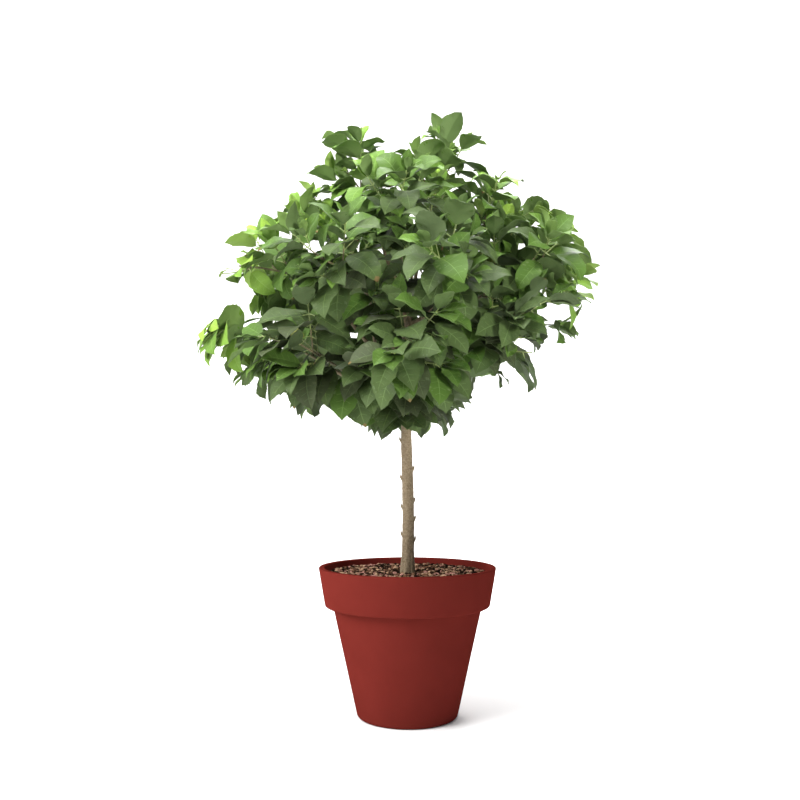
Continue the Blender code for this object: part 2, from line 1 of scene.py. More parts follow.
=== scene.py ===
"""The looks of a small potted tree: broad leaves in rosettes on a clear stem, in a red plastic flowerpot.

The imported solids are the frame. Metres, +Z up, and the front of the plant faces -Y. The limbs grow by the
source's rule, written again here, and go on into finer twigs, leaf stalks and leaves within the same reach.
"""

import logging  # noqa: E402
import math  # noqa: E402
import random  # noqa: E402
from dataclasses import dataclass, field  # noqa: E402
from enum import Enum  # noqa: E402
from typing import NamedTuple  # noqa: E402

import bmesh  # noqa: E402
import bpy  # noqa: E402
import numpy as np  # noqa: E402
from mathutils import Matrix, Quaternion, Vector, noise  # noqa: E402
from mathutils.bvhtree import BVHTree  # noqa: E402


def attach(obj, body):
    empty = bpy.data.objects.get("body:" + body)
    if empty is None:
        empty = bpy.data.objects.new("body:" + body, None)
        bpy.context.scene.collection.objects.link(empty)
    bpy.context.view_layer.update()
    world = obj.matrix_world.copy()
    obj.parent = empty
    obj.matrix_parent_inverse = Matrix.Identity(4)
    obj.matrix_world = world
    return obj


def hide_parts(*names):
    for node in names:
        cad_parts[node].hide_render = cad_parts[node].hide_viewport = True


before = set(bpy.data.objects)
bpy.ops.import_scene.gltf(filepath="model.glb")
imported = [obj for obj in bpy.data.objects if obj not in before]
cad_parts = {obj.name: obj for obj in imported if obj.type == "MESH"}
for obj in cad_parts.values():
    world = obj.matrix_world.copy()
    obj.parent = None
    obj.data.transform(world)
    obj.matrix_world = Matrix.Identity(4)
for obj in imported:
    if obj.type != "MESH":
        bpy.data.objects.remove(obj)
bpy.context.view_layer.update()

log = logging.getLogger("potted_tree")

Colour = tuple[float, float, float]
Place = tuple[float, float, float]
Span = tuple[float, float]
Faces = list[tuple[int, ...]]
UP = Vector((0, 0, 1))
GOLDEN_ANGLE = math.radians(137.5)
SEAT_GAP = 0.0003
CAMERA_PLACE: Place = (-0.0166, -1.9453, 0.5512)
# Directions steeper than this take their sides from the slanting one.
STEEP = 0.8
SLANTING = Vector((0.31, 0.95, 0.03))
# The part of a noise's range that is spread over a finish's own range.
NOISE_MIDDLE = (0.30, 0.70)
# How much finer each layer of a fractal noise is than the one before, and how many there are.
NOISE_STEP = 2.0
NOISE_OCTAVES = 3


# Meshes


@dataclass
class MeshParts:
    """Points and faces of one piece, gathered part by part."""

    points: list[np.ndarray] = field(default_factory=list)
    faces: Faces = field(default_factory=list)
    slots: list[int] = field(default_factory=list)
    count: int = 0

    def add(self, points: np.ndarray, faces: np.ndarray | Faces, slots: int | list[int] = 0) -> None:
        """Adds a part.

        Args:
            points: its points, one row each.
            faces: corner numbers of each face, from 0 in this part.
            slots: the material slot of every face, or one for all.
        """
        if isinstance(faces, np.ndarray):
            self.faces += (faces + self.count).tolist()
        else:
            self.faces += [tuple(corner + self.count for corner in face) for face in faces]
        self.slots += [slots] * len(faces) if isinstance(slots, int) else list(slots)
        self.points.append(np.asarray(points, dtype=float).reshape(-1, 3))
        self.count += len(self.points[-1])

    def piece(self, name: str, materials: list[bpy.types.Material], smooth: float = 0) -> bpy.types.Object:
        """Makes the piece.

        Args:
            name: the piece's name.
            materials: its material slots in order.
            smooth: the angle in degrees over which an edge stays sharp, or 0 for flat faces.

        Returns:
            The new object.
        """
        mesh = bpy.data.meshes.new(name)
        mesh.from_pydata(np.concatenate(self.points), [], self.faces)
        for finish in materials:
            mesh.materials.append(finish)
        mesh.polygons.foreach_set("material_index", self.slots)
        if smooth:
            mesh.shade_smooth()
            mesh.set_sharp_from_angle(angle=math.radians(smooth))
        mesh.update()
        made = bpy.data.objects.new(name, mesh)
        bpy.context.scene.collection.objects.link(made)
        return made


def ball(subdivisions: int, radius: float) -> tuple[np.ndarray, np.ndarray]:
    """Makes a faceted ball.

    Args:
        subdivisions: how finely it is faceted.
        radius: its radius.

    Returns:
        Points and faces.
    """
    made = bmesh.new()
    bmesh.ops.create_icosphere(made, subdivisions=subdivisions, radius=radius)
    points = np.array([vert.co for vert in made.verts])
    faces = np.array([[vert.index for vert in face.verts] for face in made.faces])
    made.free()
    return points, faces


def dress(piece: bpy.types.Object, nodes: list[str]) -> None:
    """Seats a piece on the frame, in place of its nodes, and reports it.

    Args:
        piece: the new piece.
        nodes: the nodes that it stands for.
    """
    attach(piece, "root")
    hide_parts(*nodes)
    triangles = sum(len(face.vertices) - 2 for face in piece.data.polygons)
    log.info("%s: %d triangles, for %d nodes", piece.name, triangles, len(nodes))


def lathe(profile: list[Span], sides: int) -> tuple[np.ndarray, Faces]:
    """Turns a profile that starts and ends on the axis into a closed skin.

    Args:
        profile: (radius, height) of each point, first and last with radius 0.
        sides: number of sides.

    Returns:
        Points and faces.
    """
    angles = math.tau * np.arange(sides) / sides
    rows = [
        np.stack([radius * np.cos(angles), radius * np.sin(angles), np.full(sides, height)], axis=1)
        for radius, height in profile[1:-1]
    ]
    first, last = len(rows) * sides, len(rows) * sides + 1
    points = np.concatenate(rows + [[(0, 0, profile[0][1]), (0, 0, profile[-1][1])]])
    faces = []
    for corner in range(sides):
        after = (corner + 1) % sides
        faces.append((first, after, corner))
        for row in range(len(rows) - 1):
            low, high = row * sides, (row + 1) * sides
            faces.append((low + corner, low + after, high + after, high + corner))
        top = (len(rows) - 1) * sides
        faces.append((last, top + corner, top + after))
    return points, faces


# Node groups and finishes


class Effect(Enum):
    """The effects that several finishes share, each one node group."""

    MOTTLE = "mottle"
    GRAIN = "grain"


def new_group(effect: Effect, inputs: dict[str, object], outputs: dict[str, str]) -> bpy.types.NodeTree:
    """An empty node group with named sockets.

    Args:
        effect: which effect it is.
        inputs: default value of each input; a tuple of 4 makes a colour.
        outputs: socket type of each output.

    Returns:
        The group, with its input and output nodes in place.
    """
    group = bpy.data.node_groups.new(effect.value, "ShaderNodeTree")
    for name, value in inputs.items():
        kind = "NodeSocketColor" if isinstance(value, tuple) else "NodeSocketFloat"
        group.interface.new_socket(name, in_out="INPUT", socket_type=kind).default_value = value
    for name, kind in outputs.items():
        group.interface.new_socket(name, in_out="OUTPUT", socket_type=kind)
    group.nodes.new("NodeGroupInput").name = "in"
    group.nodes.new("NodeGroupOutput").name = "out"
    return group


def stretched_place(group: bpy.types.NodeTree) -> bpy.types.NodeSocket:
    """The place on the object, with its height multiplied by the group's Stretch.

    Args:
        group: the node group.

    Returns:
        The stretched place.
    """
    place = group.nodes.new("ShaderNodeTexCoord")
    axes = group.nodes.new("ShaderNodeCombineXYZ")
    scaled = group.nodes.new("ShaderNodeVectorMath")
    scaled.operation = "MULTIPLY"
    axes.inputs["X"].default_value = axes.inputs["Y"].default_value = 1
    group.links.new(group.nodes["in"].outputs["Stretch"], axes.inputs["Z"])
    group.links.new(place.outputs["Object"], scaled.inputs[0])
    group.links.new(axes.outputs[0], scaled.inputs[1])
    return scaled.outputs[0]


def soft_noise(group: bpy.types.NodeTree, detail: float) -> bpy.types.NodeSocket:
    """Noise at the group's Scale and Stretch.

    Args:
        group: the node group.
        detail: how many finer layers it has.

    Returns:
        The noise, from 0 to 1.
    """
    made = group.nodes.new("ShaderNodeTexNoise")
    made.inputs["Detail"].default_value = detail
    group.links.new(stretched_place(group), made.inputs["Vector"])
    group.links.new(group.nodes["in"].outputs["Scale"], made.inputs["Scale"])
    return made.outputs["Fac"]


def ranged(
    group: bpy.types.NodeTree, value: bpy.types.NodeSocket, low: object, high: object
) -> bpy.types.NodeSocket:
    """Maps the middle of a noise to a range.

    Args:
        group: the node group.
        value: the noise.
        low: the number or socket that the noise's low values give.
        high: the number or socket that its high values give.

    Returns:
        The mapped value.
    """
    made = group.nodes.new("ShaderNodeMapRange")
    made.inputs["From Min"].default_value, made.inputs["From Max"].default_value = NOISE_MIDDLE
    group.links.new(value, made.inputs["Value"])
    for name, bound in (("To Min", low), ("To Max", high)):
        if isinstance(bound, bpy.types.NodeSocket):
            group.links.new(bound, made.inputs[name])
        else:
            made.inputs[name].default_value = bound
    return made.outputs["Result"]


def mottle_group() -> bpy.types.NodeTree:
    """Makes the group that mixes two colours in soft patches.

    Returns:
        The group.
    """
    group = new_group(
        Effect.MOTTLE,
        {"Light": (1, 1, 1, 1), "Dark": (0, 0, 0, 1), "Scale": 20.0, "Stretch": 1.0},
        {"Colour": "NodeSocketColor", "Mask": "NodeSocketFloat"},
    )
    mask = ranged(group, soft_noise(group, detail=5), 0, 1)
    mix = group.nodes.new("ShaderNodeMix")
    mix.data_type = "RGBA"
    group.links.new(mask, mix.inputs["Factor"])
    group.links.new(group.nodes["in"].outputs["Dark"], mix.inputs["A"])
    group.links.new(group.nodes["in"].outputs["Light"], mix.inputs["B"])
    group.links.new(mix.outputs["Result"], group.nodes["out"].inputs["Colour"])
    group.links.new(mask, group.nodes["out"].inputs["Mask"])
    return group


def grain_group() -> bpy.types.NodeTree:
    """Makes the group for fine relief, and a roughness that goes with it.

    Returns:
        The group.
    """
    group = new_group(
        Effect.GRAIN,
        {"Scale": 200.0, "Stretch": 1.0, "Smoothest": 0.4, "Roughest": 0.6},
        {"Height": "NodeSocketFloat", "Roughness": "NodeSocketFloat"},
    )
    grain = soft_noise(group, detail=4)
    bounds = (group.nodes["in"].outputs["Smoothest"], group.nodes["in"].outputs["Roughest"])
    group.links.new(grain, group.nodes["out"].inputs["Height"])
    group.links.new(ranged(group, grain, *bounds), group.nodes["out"].inputs["Roughness"])
    return group


GROUP_MAKERS = {Effect.MOTTLE: mottle_group, Effect.GRAIN: grain_group}


def place_group(tree: bpy.types.NodeTree, effect: Effect, values: dict[str, object]) -> bpy.types.Node:
    """Puts an effect into a material with its own values.

    Args:
        tree: the material's node tree.
        effect: the effect.
        values: the value of each input that is set.

    Returns:
        The group node.
    """
    placed = tree.nodes.new("ShaderNodeGroup")
    placed.node_tree = bpy.data.node_groups.get(effect.value) or GROUP_MAKERS[effect]()
    for name, value in values.items():
        placed.inputs[name].default_value = value
    return placed


@dataclass(frozen=True)
class Finish:
    """A finish: its colour, a second colour that it is mottled with, and the grain of its surface."""

    name: str
    colour: Colour
    second: Colour | None = None
    patches: float = 20.0
    stretch: float = 1.0
    smoothest: float = 0.4
    roughest: float = 0.6
    grain: float = 300.0
    relief: float = 0.0002
    specular: float = 0.5

    def material(self) -> bpy.types.Material:
        """Makes the material.

        Returns:
            The new material.
        """
        made = bpy.data.materials.new(self.name)
        made.use_nodes = True
        tree = made.node_tree
        shader = tree.nodes["Principled BSDF"]
        shader.inputs["Specular IOR Level"].default_value = self.specular
        shader.inputs["Base Color"].default_value = (*self.colour, 1)
        if self.second:
            values = {"Light": (*self.colour, 1), "Dark": (*self.second, 1)}
            values |= {"Scale": self.patches, "Stretch": self.stretch}
            mottle = place_group(tree, Effect.MOTTLE, values)
            tree.links.new(mottle.outputs["Colour"], shader.inputs["Base Color"])
        values = {"Scale": self.grain, "Stretch": self.stretch}
        values |= {"Smoothest": self.smoothest, "Roughest": self.roughest}
        grain = place_group(tree, Effect.GRAIN, values)
        tree.links.new(grain.outputs["Roughness"], shader.inputs["Roughness"])
        bump = tree.nodes.new("ShaderNodeBump")
        bump.inputs["Distance"].default_value = self.relief
        tree.links.new(grain.outputs["Height"], bump.inputs["Height"])
        tree.links.new(bump.outputs["Normal"], shader.inputs["Normal"])
        return made


# Pot and soil


@dataclass
class Flowerpot:
    """The moulded flowerpot, a tapering body under a deep collar with a rounded lip."""

    height: float = 0.328
    rim_radius: float = 0.200
    lip_width: float = 0.0135
    lip_round: float = 0.0035
    collar_height: float = 0.086
    collar_foot_radius: float = 0.1848
    collar_round: float = 0.005
    body_top_radius: float = 0.1672
    body_foot_radius: float = 0.1114
    foot_round: float = 0.008
    wall: float = 0.005
    floor: float = 0.007
    sides: int = 192
    round_steps: int = 8
    finish: Finish = Finish(
        "red_plastic", colour=(0.120, 0.0168, 0.0128), second=(0.106, 0.0148, 0.0112), patches=9,
        smoothest=0.44, roughest=0.56, grain=420, relief=0.00012, specular=0.0,
    )

    def collar_foot(self) -> float:
        """Height of the collar's lower edge."""
        return self.height - self.collar_height

    def inner_radius(self, height: float) -> float:
        """Radius of the inside.

        Args:
            height: the height to take it at.

        Returns:
            The radius.
        """
        throat = self.body_top_radius - self.wall
        if height > self.collar_foot():
            share = (height - self.collar_foot()) / self.collar_height
            return throat + (self.rim_radius - self.lip_width - throat) * share
        share = (height - self.floor) / (self.collar_foot() - self.floor)
        return self.body_foot_radius - self.wall + (throat - self.body_foot_radius + self.wall) * share

    def rounded(self, corner: Span, before: Span, after: Span, radius: float) -> list[Span]:
        """Points of the round that replaces a corner of the profile.

        Args:
            corner: the corner, (radius, height).
            before: the point before it.
            after: the point after it.
            radius: how far the round starts from the corner.

        Returns:
            The round's points.
        """
        middle, start, end = Vector(corner), Vector(before), Vector(after)
        start = middle + (start - middle).normalized() * radius
        end = middle + (end - middle).normalized() * radius
        shares = [step / self.round_steps for step in range(self.round_steps + 1)]
        return [tuple(start.lerp(middle, share).lerp(middle.lerp(end, share), share)) for share in shares]

    def profile(self) -> list[Span]:
        """The section of the pot, from the middle of its underside round to the middle of its floor.

        Returns:
            (radius, height) of each point.
        """
        collar_foot = self.collar_foot()
        foot = (self.body_foot_radius, 0)
        body_top = (self.body_top_radius, collar_foot)
        collar_low = (self.collar_foot_radius, collar_foot)
        rim = (self.rim_radius, self.height)
        lip = (self.rim_radius - self.lip_width, self.height)
        throat = (self.inner_radius(collar_foot), collar_foot)
        points = [(0, 0)]
        points += self.rounded(foot, (0, 0), body_top, self.foot_round)
        points += [body_top]
        points += self.rounded(collar_low, body_top, rim, self.collar_round)
        points += self.rounded(rim, collar_low, lip, self.lip_round)
        points += self.rounded(lip, rim, throat, self.lip_round)
        return points + [throat, (self.inner_radius(self.floor), self.floor), (0, self.floor)]

    def build(self) -> None:
        """Makes the pot."""
        parts = MeshParts()
        parts.add(*lathe(self.profile(), self.sides))
        dress(parts.piece("pot_shell", [self.finish.material()], smooth=35), ["pot"])


def fractal(place: Vector, smoothness: float) -> float:
    """Noise in a few octaves, mostly from -1 to 1."""
    return noise.fractal(place, smoothness, NOISE_STEP, NOISE_OCTAVES)


@dataclass
class PottingSoil:
    """The potting mix: an uneven bed with bark chips and grit on it."""

    pot: Flowerpot
    top: float = 0.314
    hump: float = 0.0016
    hump_scale: float = 26.0
    hump_smoothness: float = 1.0
    flat_radius: float = 0.030
    rings: int = 34
    sides: int = 150
    chips: int = 2700
    chip_sizes: Span = (0.0045, 0.0135)
    chip_widths: Span = (0.38, 0.80)
    chip_flatness: Span = (0.30, 0.60)
    # Radius of a chip as a share of its length, and how much each of its corners is drawn in or out.
    chip_radius: float = 0.55
    chip_lumps: Span = (0.78, 1.18)
    chip_shade: float = 0.6
    chip_sink: float = 0.25
    chip_tilt: float = 35
    trunk_clear: float = 0.019
    edge_clear: float = 0.004
    bed: Finish = Finish(
        "soil_bed", colour=(0.035, 0.021, 0.014), second=(0.008, 0.006, 0.005), patches=160,
        smoothest=0.85, roughest=1.0, grain=500, relief=0.001, specular=0.0,
    )
    chip_colours: tuple[Colour, ...] = (
        (0.420, 0.265, 0.170), (0.135, 0.070, 0.042), (0.038, 0.020, 0.013), (0.400, 0.200, 0.160),
        (0.008, 0.005, 0.003),
    )
    chip_weights: tuple[float, ...] = (0.20, 0.24, 0.21, 0.12, 0.23)

    def surface(self, x: float, y: float) -> float:
        """Height of the bed.

        Args:
            x: the place to the right.
            y: the place to the back.

        Returns:
            The height.
        """
        fade = min(1.0, max(0.0, math.hypot(x, y) / self.flat_radius - 1))
        hump = fractal(Vector((x, y, 0)) * self.hump_scale, self.hump_smoothness)
        return self.top + self.hump * max(-1.0, min(1.0, hump)) * fade

    def build_bed(self) -> None:
        """Makes the bed, which fills the pot."""
        pot = self.pot
        floor, clear = pot.floor + SEAT_GAP, 2 * SEAT_GAP
        edge = pot.inner_radius(self.top) - clear
        profile = [(0, floor), (pot.inner_radius(floor) - clear, floor)]
        profile += [(pot.inner_radius(pot.collar_foot()) - clear, pot.collar_foot()), (edge, self.top)]
        profile += [(edge * ring / self.rings, self.top) for ring in range(self.rings - 1, -1, -1)]
        points, faces = lathe(profile, self.sides)
        for point in points:
            if point[2] > self.top - SEAT_GAP and math.hypot(point[0], point[1]) < edge - SEAT_GAP:
                point[2] = self.surface(point[0], point[1])
        parts = MeshParts()
        parts.add(points, faces)
        dress(parts.piece("soil_bed", [self.bed.material()], smooth=60), ["potting_soil"])

    def build_chips(self) -> None:
        """Strews the chips over the bed."""
        shape, faces = ball(1, self.chip_radius)
        draw = random.Random("chips")
        reach = self.pot.inner_radius(self.top) - self.edge_clear
        parts = MeshParts()
        for _ in range(self.chips):
            length = self.chip_sizes[0] + (self.chip_sizes[1] - self.chip_sizes[0]) * draw.random() ** 2
            radius = math.sqrt(draw.uniform((self.trunk_clear + length / 2) ** 2, (reach - length / 2) ** 2))
            angle = draw.uniform(0, math.tau)
            x, y = radius * math.cos(angle), radius * math.sin(angle)
            width = length * draw.uniform(*self.chip_widths)
            thick = length * draw.uniform(*self.chip_flatness)
            lumps = np.array([draw.uniform(*self.chip_lumps) for _ in shape])
            tilt = math.radians(draw.uniform(-self.chip_tilt, self.chip_tilt))
            turn = Quaternion((0, 0, 1), draw.uniform(0, math.tau)) @ Quaternion((1, 0, 0), tilt)
            chip = shape * lumps[:, None] * (length, width, thick)
            chip = chip @ np.array(turn.to_matrix()).T
            lift = self.surface(x, y) + thick * (0.5 - self.chip_sink)
            tone = draw.choices(range(len(self.chip_colours)), self.chip_weights)[0]
            parts.add(chip + (x, y, lift), faces, tone)
        finishes = [
            Finish(
                f"chip_{index}", colour=colour, second=tuple(part * self.chip_shade for part in colour),
                patches=220, smoothest=0.75, roughest=0.95, grain=700, relief=0.0006, specular=0.0,
            ).material()
            for index, colour in enumerate(self.chip_colours)
        ]
        dress(parts.piece("soil_chips", finishes), ["potting_soil"])


# Limbs, by the source's rule


@dataclass
class Limb:
    """A tapering limb: points, directions and radii along its curve."""

    points: list[Vector]
    directions: list[Vector]
    radii: list[float]

    def at(self, share: float) -> tuple[Vector, Vector, float]:
        """Point, direction and radius on the curve.

        Args:
            share: how far along, from 0 to 1.

        Returns:
            The three of them.
        """
        place = share * (len(self.points) - 1)
        index = min(int(place), len(self.points) - 2)
        part = place - index
        point = self.points[index].lerp(self.points[index + 1], part)
        direction = self.directions[index].lerp(self.directions[index + 1], part).normalized()
        return point, direction, self.radii[index] + (self.radii[index + 1] - self.radii[index]) * part

    def distances(self) -> np.ndarray:
        """How far along the curve each point lies."""
        steps = [(after - before).length for before, after in zip(self.points, self.points[1:])]
        return np.cumsum([0.0] + steps)

    def ring_angles(self, sides: int) -> np.ndarray:
        """Angles of the corners of a ring."""
        return math.tau * (np.arange(sides) + 0.5) / sides

    def tube(self, sides: int, radii: np.ndarray | None = None) -> tuple[np.ndarray, Faces]:
        """The limb as a closed tube.

        Args:
            sides: number of sides.
            radii: the radius at each ring and corner, or None for round rings.

        Returns:
            Points and faces.
        """
        angles = self.ring_angles(sides)
        if radii is None:
            radii = np.repeat(np.array(self.radii)[:, None], sides, axis=1)
        side = ring_side(self.directions[0])
        rows = []
        for point, direction, ring in zip(self.points, self.directions, radii):
            side = (side - direction * side.dot(direction)).normalized()
            over = side.cross(direction)
            across = np.cos(angles)[:, None] * np.array(side) + np.sin(angles)[:, None] * np.array(over)
            rows.append(np.array(point) + ring[:, None] * across)
        faces = []
        for row in range(len(rows) - 1):
            low, high = row * sides, (row + 1) * sides
            for corner in range(sides):
                after = (corner + 1) % sides
                faces.append((low + corner, high + corner, high + after, low + after))
        last = (len(rows) - 1) * sides
        faces.append(tuple(range(sides)))
        faces.append(tuple(last + corner for corner in reversed(range(sides))))
        return np.concatenate(rows), faces


def ring_side(direction: Vector) -> Vector:
    """A direction square to a limb's own."""
    return direction.cross(SLANTING if abs(direction.z) > STEEP else UP).normalized()


def lean(along: Vector, spin: float, opening: float) -> tuple[Vector, Vector]:
    """A direction that leans from a limb's own by an angle, and the side that it leans to."""
    radial = Quaternion(along, spin) @ ring_side(along)
    return along * math.cos(opening) + radial * math.sin(opening), radial


def limb_curve(
    start: Vector, direction: Vector, end: Vector, ends: Span, rings: int, bend: float = 0.45
) -> Limb:
    """A limb that leaves in one direction and bends to its end.

    Args:
        start: where it starts.
        direction: the direction it leaves in.
        end: where it ends.
        ends: its first and last radius.
        rings: number of rings.
        bend: share of its length that it keeps its first direction for.

    Returns:
        The limb.
    """
    control = start + direction * (end - start).length * bend
    limb = Limb([], [], [])
    for ring in range(rings):
        share = ring / (rings - 1)
        before, after = start.lerp(control, share), control.lerp(end, share)
        limb.points.append(before.lerp(after, share))
        limb.directions.append((after - before).normalized())
        limb.radii.append(ends[0] + (ends[1] - ends[0]) * share)
    return limb


def side_limb(
    centre: Vector, axis: Vector, radius: float, end: Vector, lift: float, ends: Span,
    rings: int,
) -> Limb:
    """A limb from the side of another.

    Args:
        centre: point on the carrier's axis.
        axis: the carrier's direction there.
        radius: the carrier's radius there.
        end: where the limb ends.
        lift: how far it leans along the carrier as it leaves.
        ends: its first and last radius.
        rings: number of rings.

    Returns:
        The limb, which starts just clear of the carrier's side.
    """
    outward = end - centre
    outward = (outward - axis * outward.dot(axis)).normalized()
    start = centre + outward * (radius + SEAT_GAP)
    return limb_curve(start, (outward + axis * lift).normalized(), end, ends, rings)


def end_limb(carrier: Limb, end: Vector, ends: Span, rings: int) -> Limb:
    """A limb that goes on from the end of another."""
    direction = carrier.directions[-1]
    return limb_curve(carrier.points[-1] + direction * SEAT_GAP, direction, end, ends, rings)


def around(reach: float, azimuth: float, height: float) -> Vector:
    """The point at a distance from the upright, an azimuth in degrees and a height."""
    angle = math.radians(azimuth)
    return Vector((reach * math.cos(angle), reach * math.sin(angle), height))


def ramp(value: float, low: float, high: float) -> float:
    """How far a value has come from low to high, from 0 to 1."""
    return min(1.0, max(0.0, (value - low) / (high - low)))


def varied(size: float, spread: float, draw: random.Random) -> float:
    """A size that varies at random by up to a share of itself."""
    return size * draw.uniform(1 - spread, 1 + spread)


@dataclass(frozen=True)
class Habit:
    """How the shoots and leaves of a mass stand."""

    shoot_length: float
    lift: float
    hang: float
    facing: float
    leaf_scale: float
    pairs: int
    youth: float
    arch: float


@dataclass(frozen=True)
class Tier:
    """A ring of boughs and masses: where they leave, and how far and how high each mass reaches."""

    name: str
    sides: tuple[str, ...]
    turn: float
    seats: Span
    bough_reach: float
    bough_rise: float
    radius: float
    lift: float
    reaches: tuple[float, ...]
    heights: tuple[float, ...]
    seeds: tuple[int, ...]
    habit: Habit


@dataclass
class Mass:
    """One mass of leaves: its name, the limb of its stem, its habit, its random seed and its twigs."""

    name: str
    stem: Limb
    habit: Habit
    seed: int
    shoots: list[Limb] = field(default_factory=list)
    twiglets: list[Limb] = field(default_factory=list)

    def __post_init__(self) -> None:
        """Sets up the mass's own random numbers."""
        self.draw = random.Random(f"{self.name} {self.seed}")


SIDES = ("left", "front_left", "front", "front_right", "right", "back_right", "back", "back_left")
LOW = Tier(
    name="low", sides=SIDES, turn=0, seats=(0.706, 0.730), bough_reach=0.170, bough_rise=0.40,
    radius=0.0054, lift=0.20, reaches=(0.415, 0.335, 0.300, 0.310, 0.345, 0.335, 0.330, 0.335),
    heights=(0.880, 0.810, 0.800, 0.862, 0.948, 0.875, 0.830, 0.825), seeds=(10, 14, 7, 11, 32, 2, 15, 6),
    habit=Habit(0.100, lift=0.10, hang=0.92, facing=1.1, leaf_scale=1.02, pairs=6, youth=0.25, arch=30),
)
MID = Tier(
    name="mid", sides=SIDES, turn=14, seats=(0.757, 0.776), bough_reach=0.150, bough_rise=0.62,
    radius=0.0058, lift=0.75, reaches=(0.385, 0.350, 0.345, 0.350, 0.390, 0.365, 0.350, 0.355),
    heights=(0.995, 0.965, 0.950, 0.985, 1.075, 1.020, 0.975, 1.000), seeds=(40, 11, 8, 3, 33, 4, 1, 14),
    habit=Habit(0.105, lift=0.30, hang=0.42, facing=0.8, leaf_scale=0.93, pairs=6, youth=0.6, arch=48),
)
UPPER = Tier(
    name="upper", sides=("left", "front", "right", "back"), turn=-8, seats=(0.20, 0.42),
    bough_reach=0.095, bough_rise=0.55, radius=0.0046, lift=0.60, reaches=(0.225, 0.205, 0.235, 0.205),
    heights=(1.112, 1.110, 1.125, 1.140), seeds=(42, 14, 45, 13),
    habit=Habit(0.105, lift=0.40, hang=0.25, facing=0.6, leaf_scale=0.90, pairs=5, youth=0.8, arch=60),
)
TOP_HABIT = Habit(0.100, lift=0.45, hang=0.15, facing=0.5, leaf_scale=0.95, pairs=5, youth=1.0, arch=64)
SKIRT_HABIT = Habit(0.070, lift=0.05, hang=1.1, facing=1.0, leaf_scale=1.0, pairs=5, youth=0.0, arch=25)


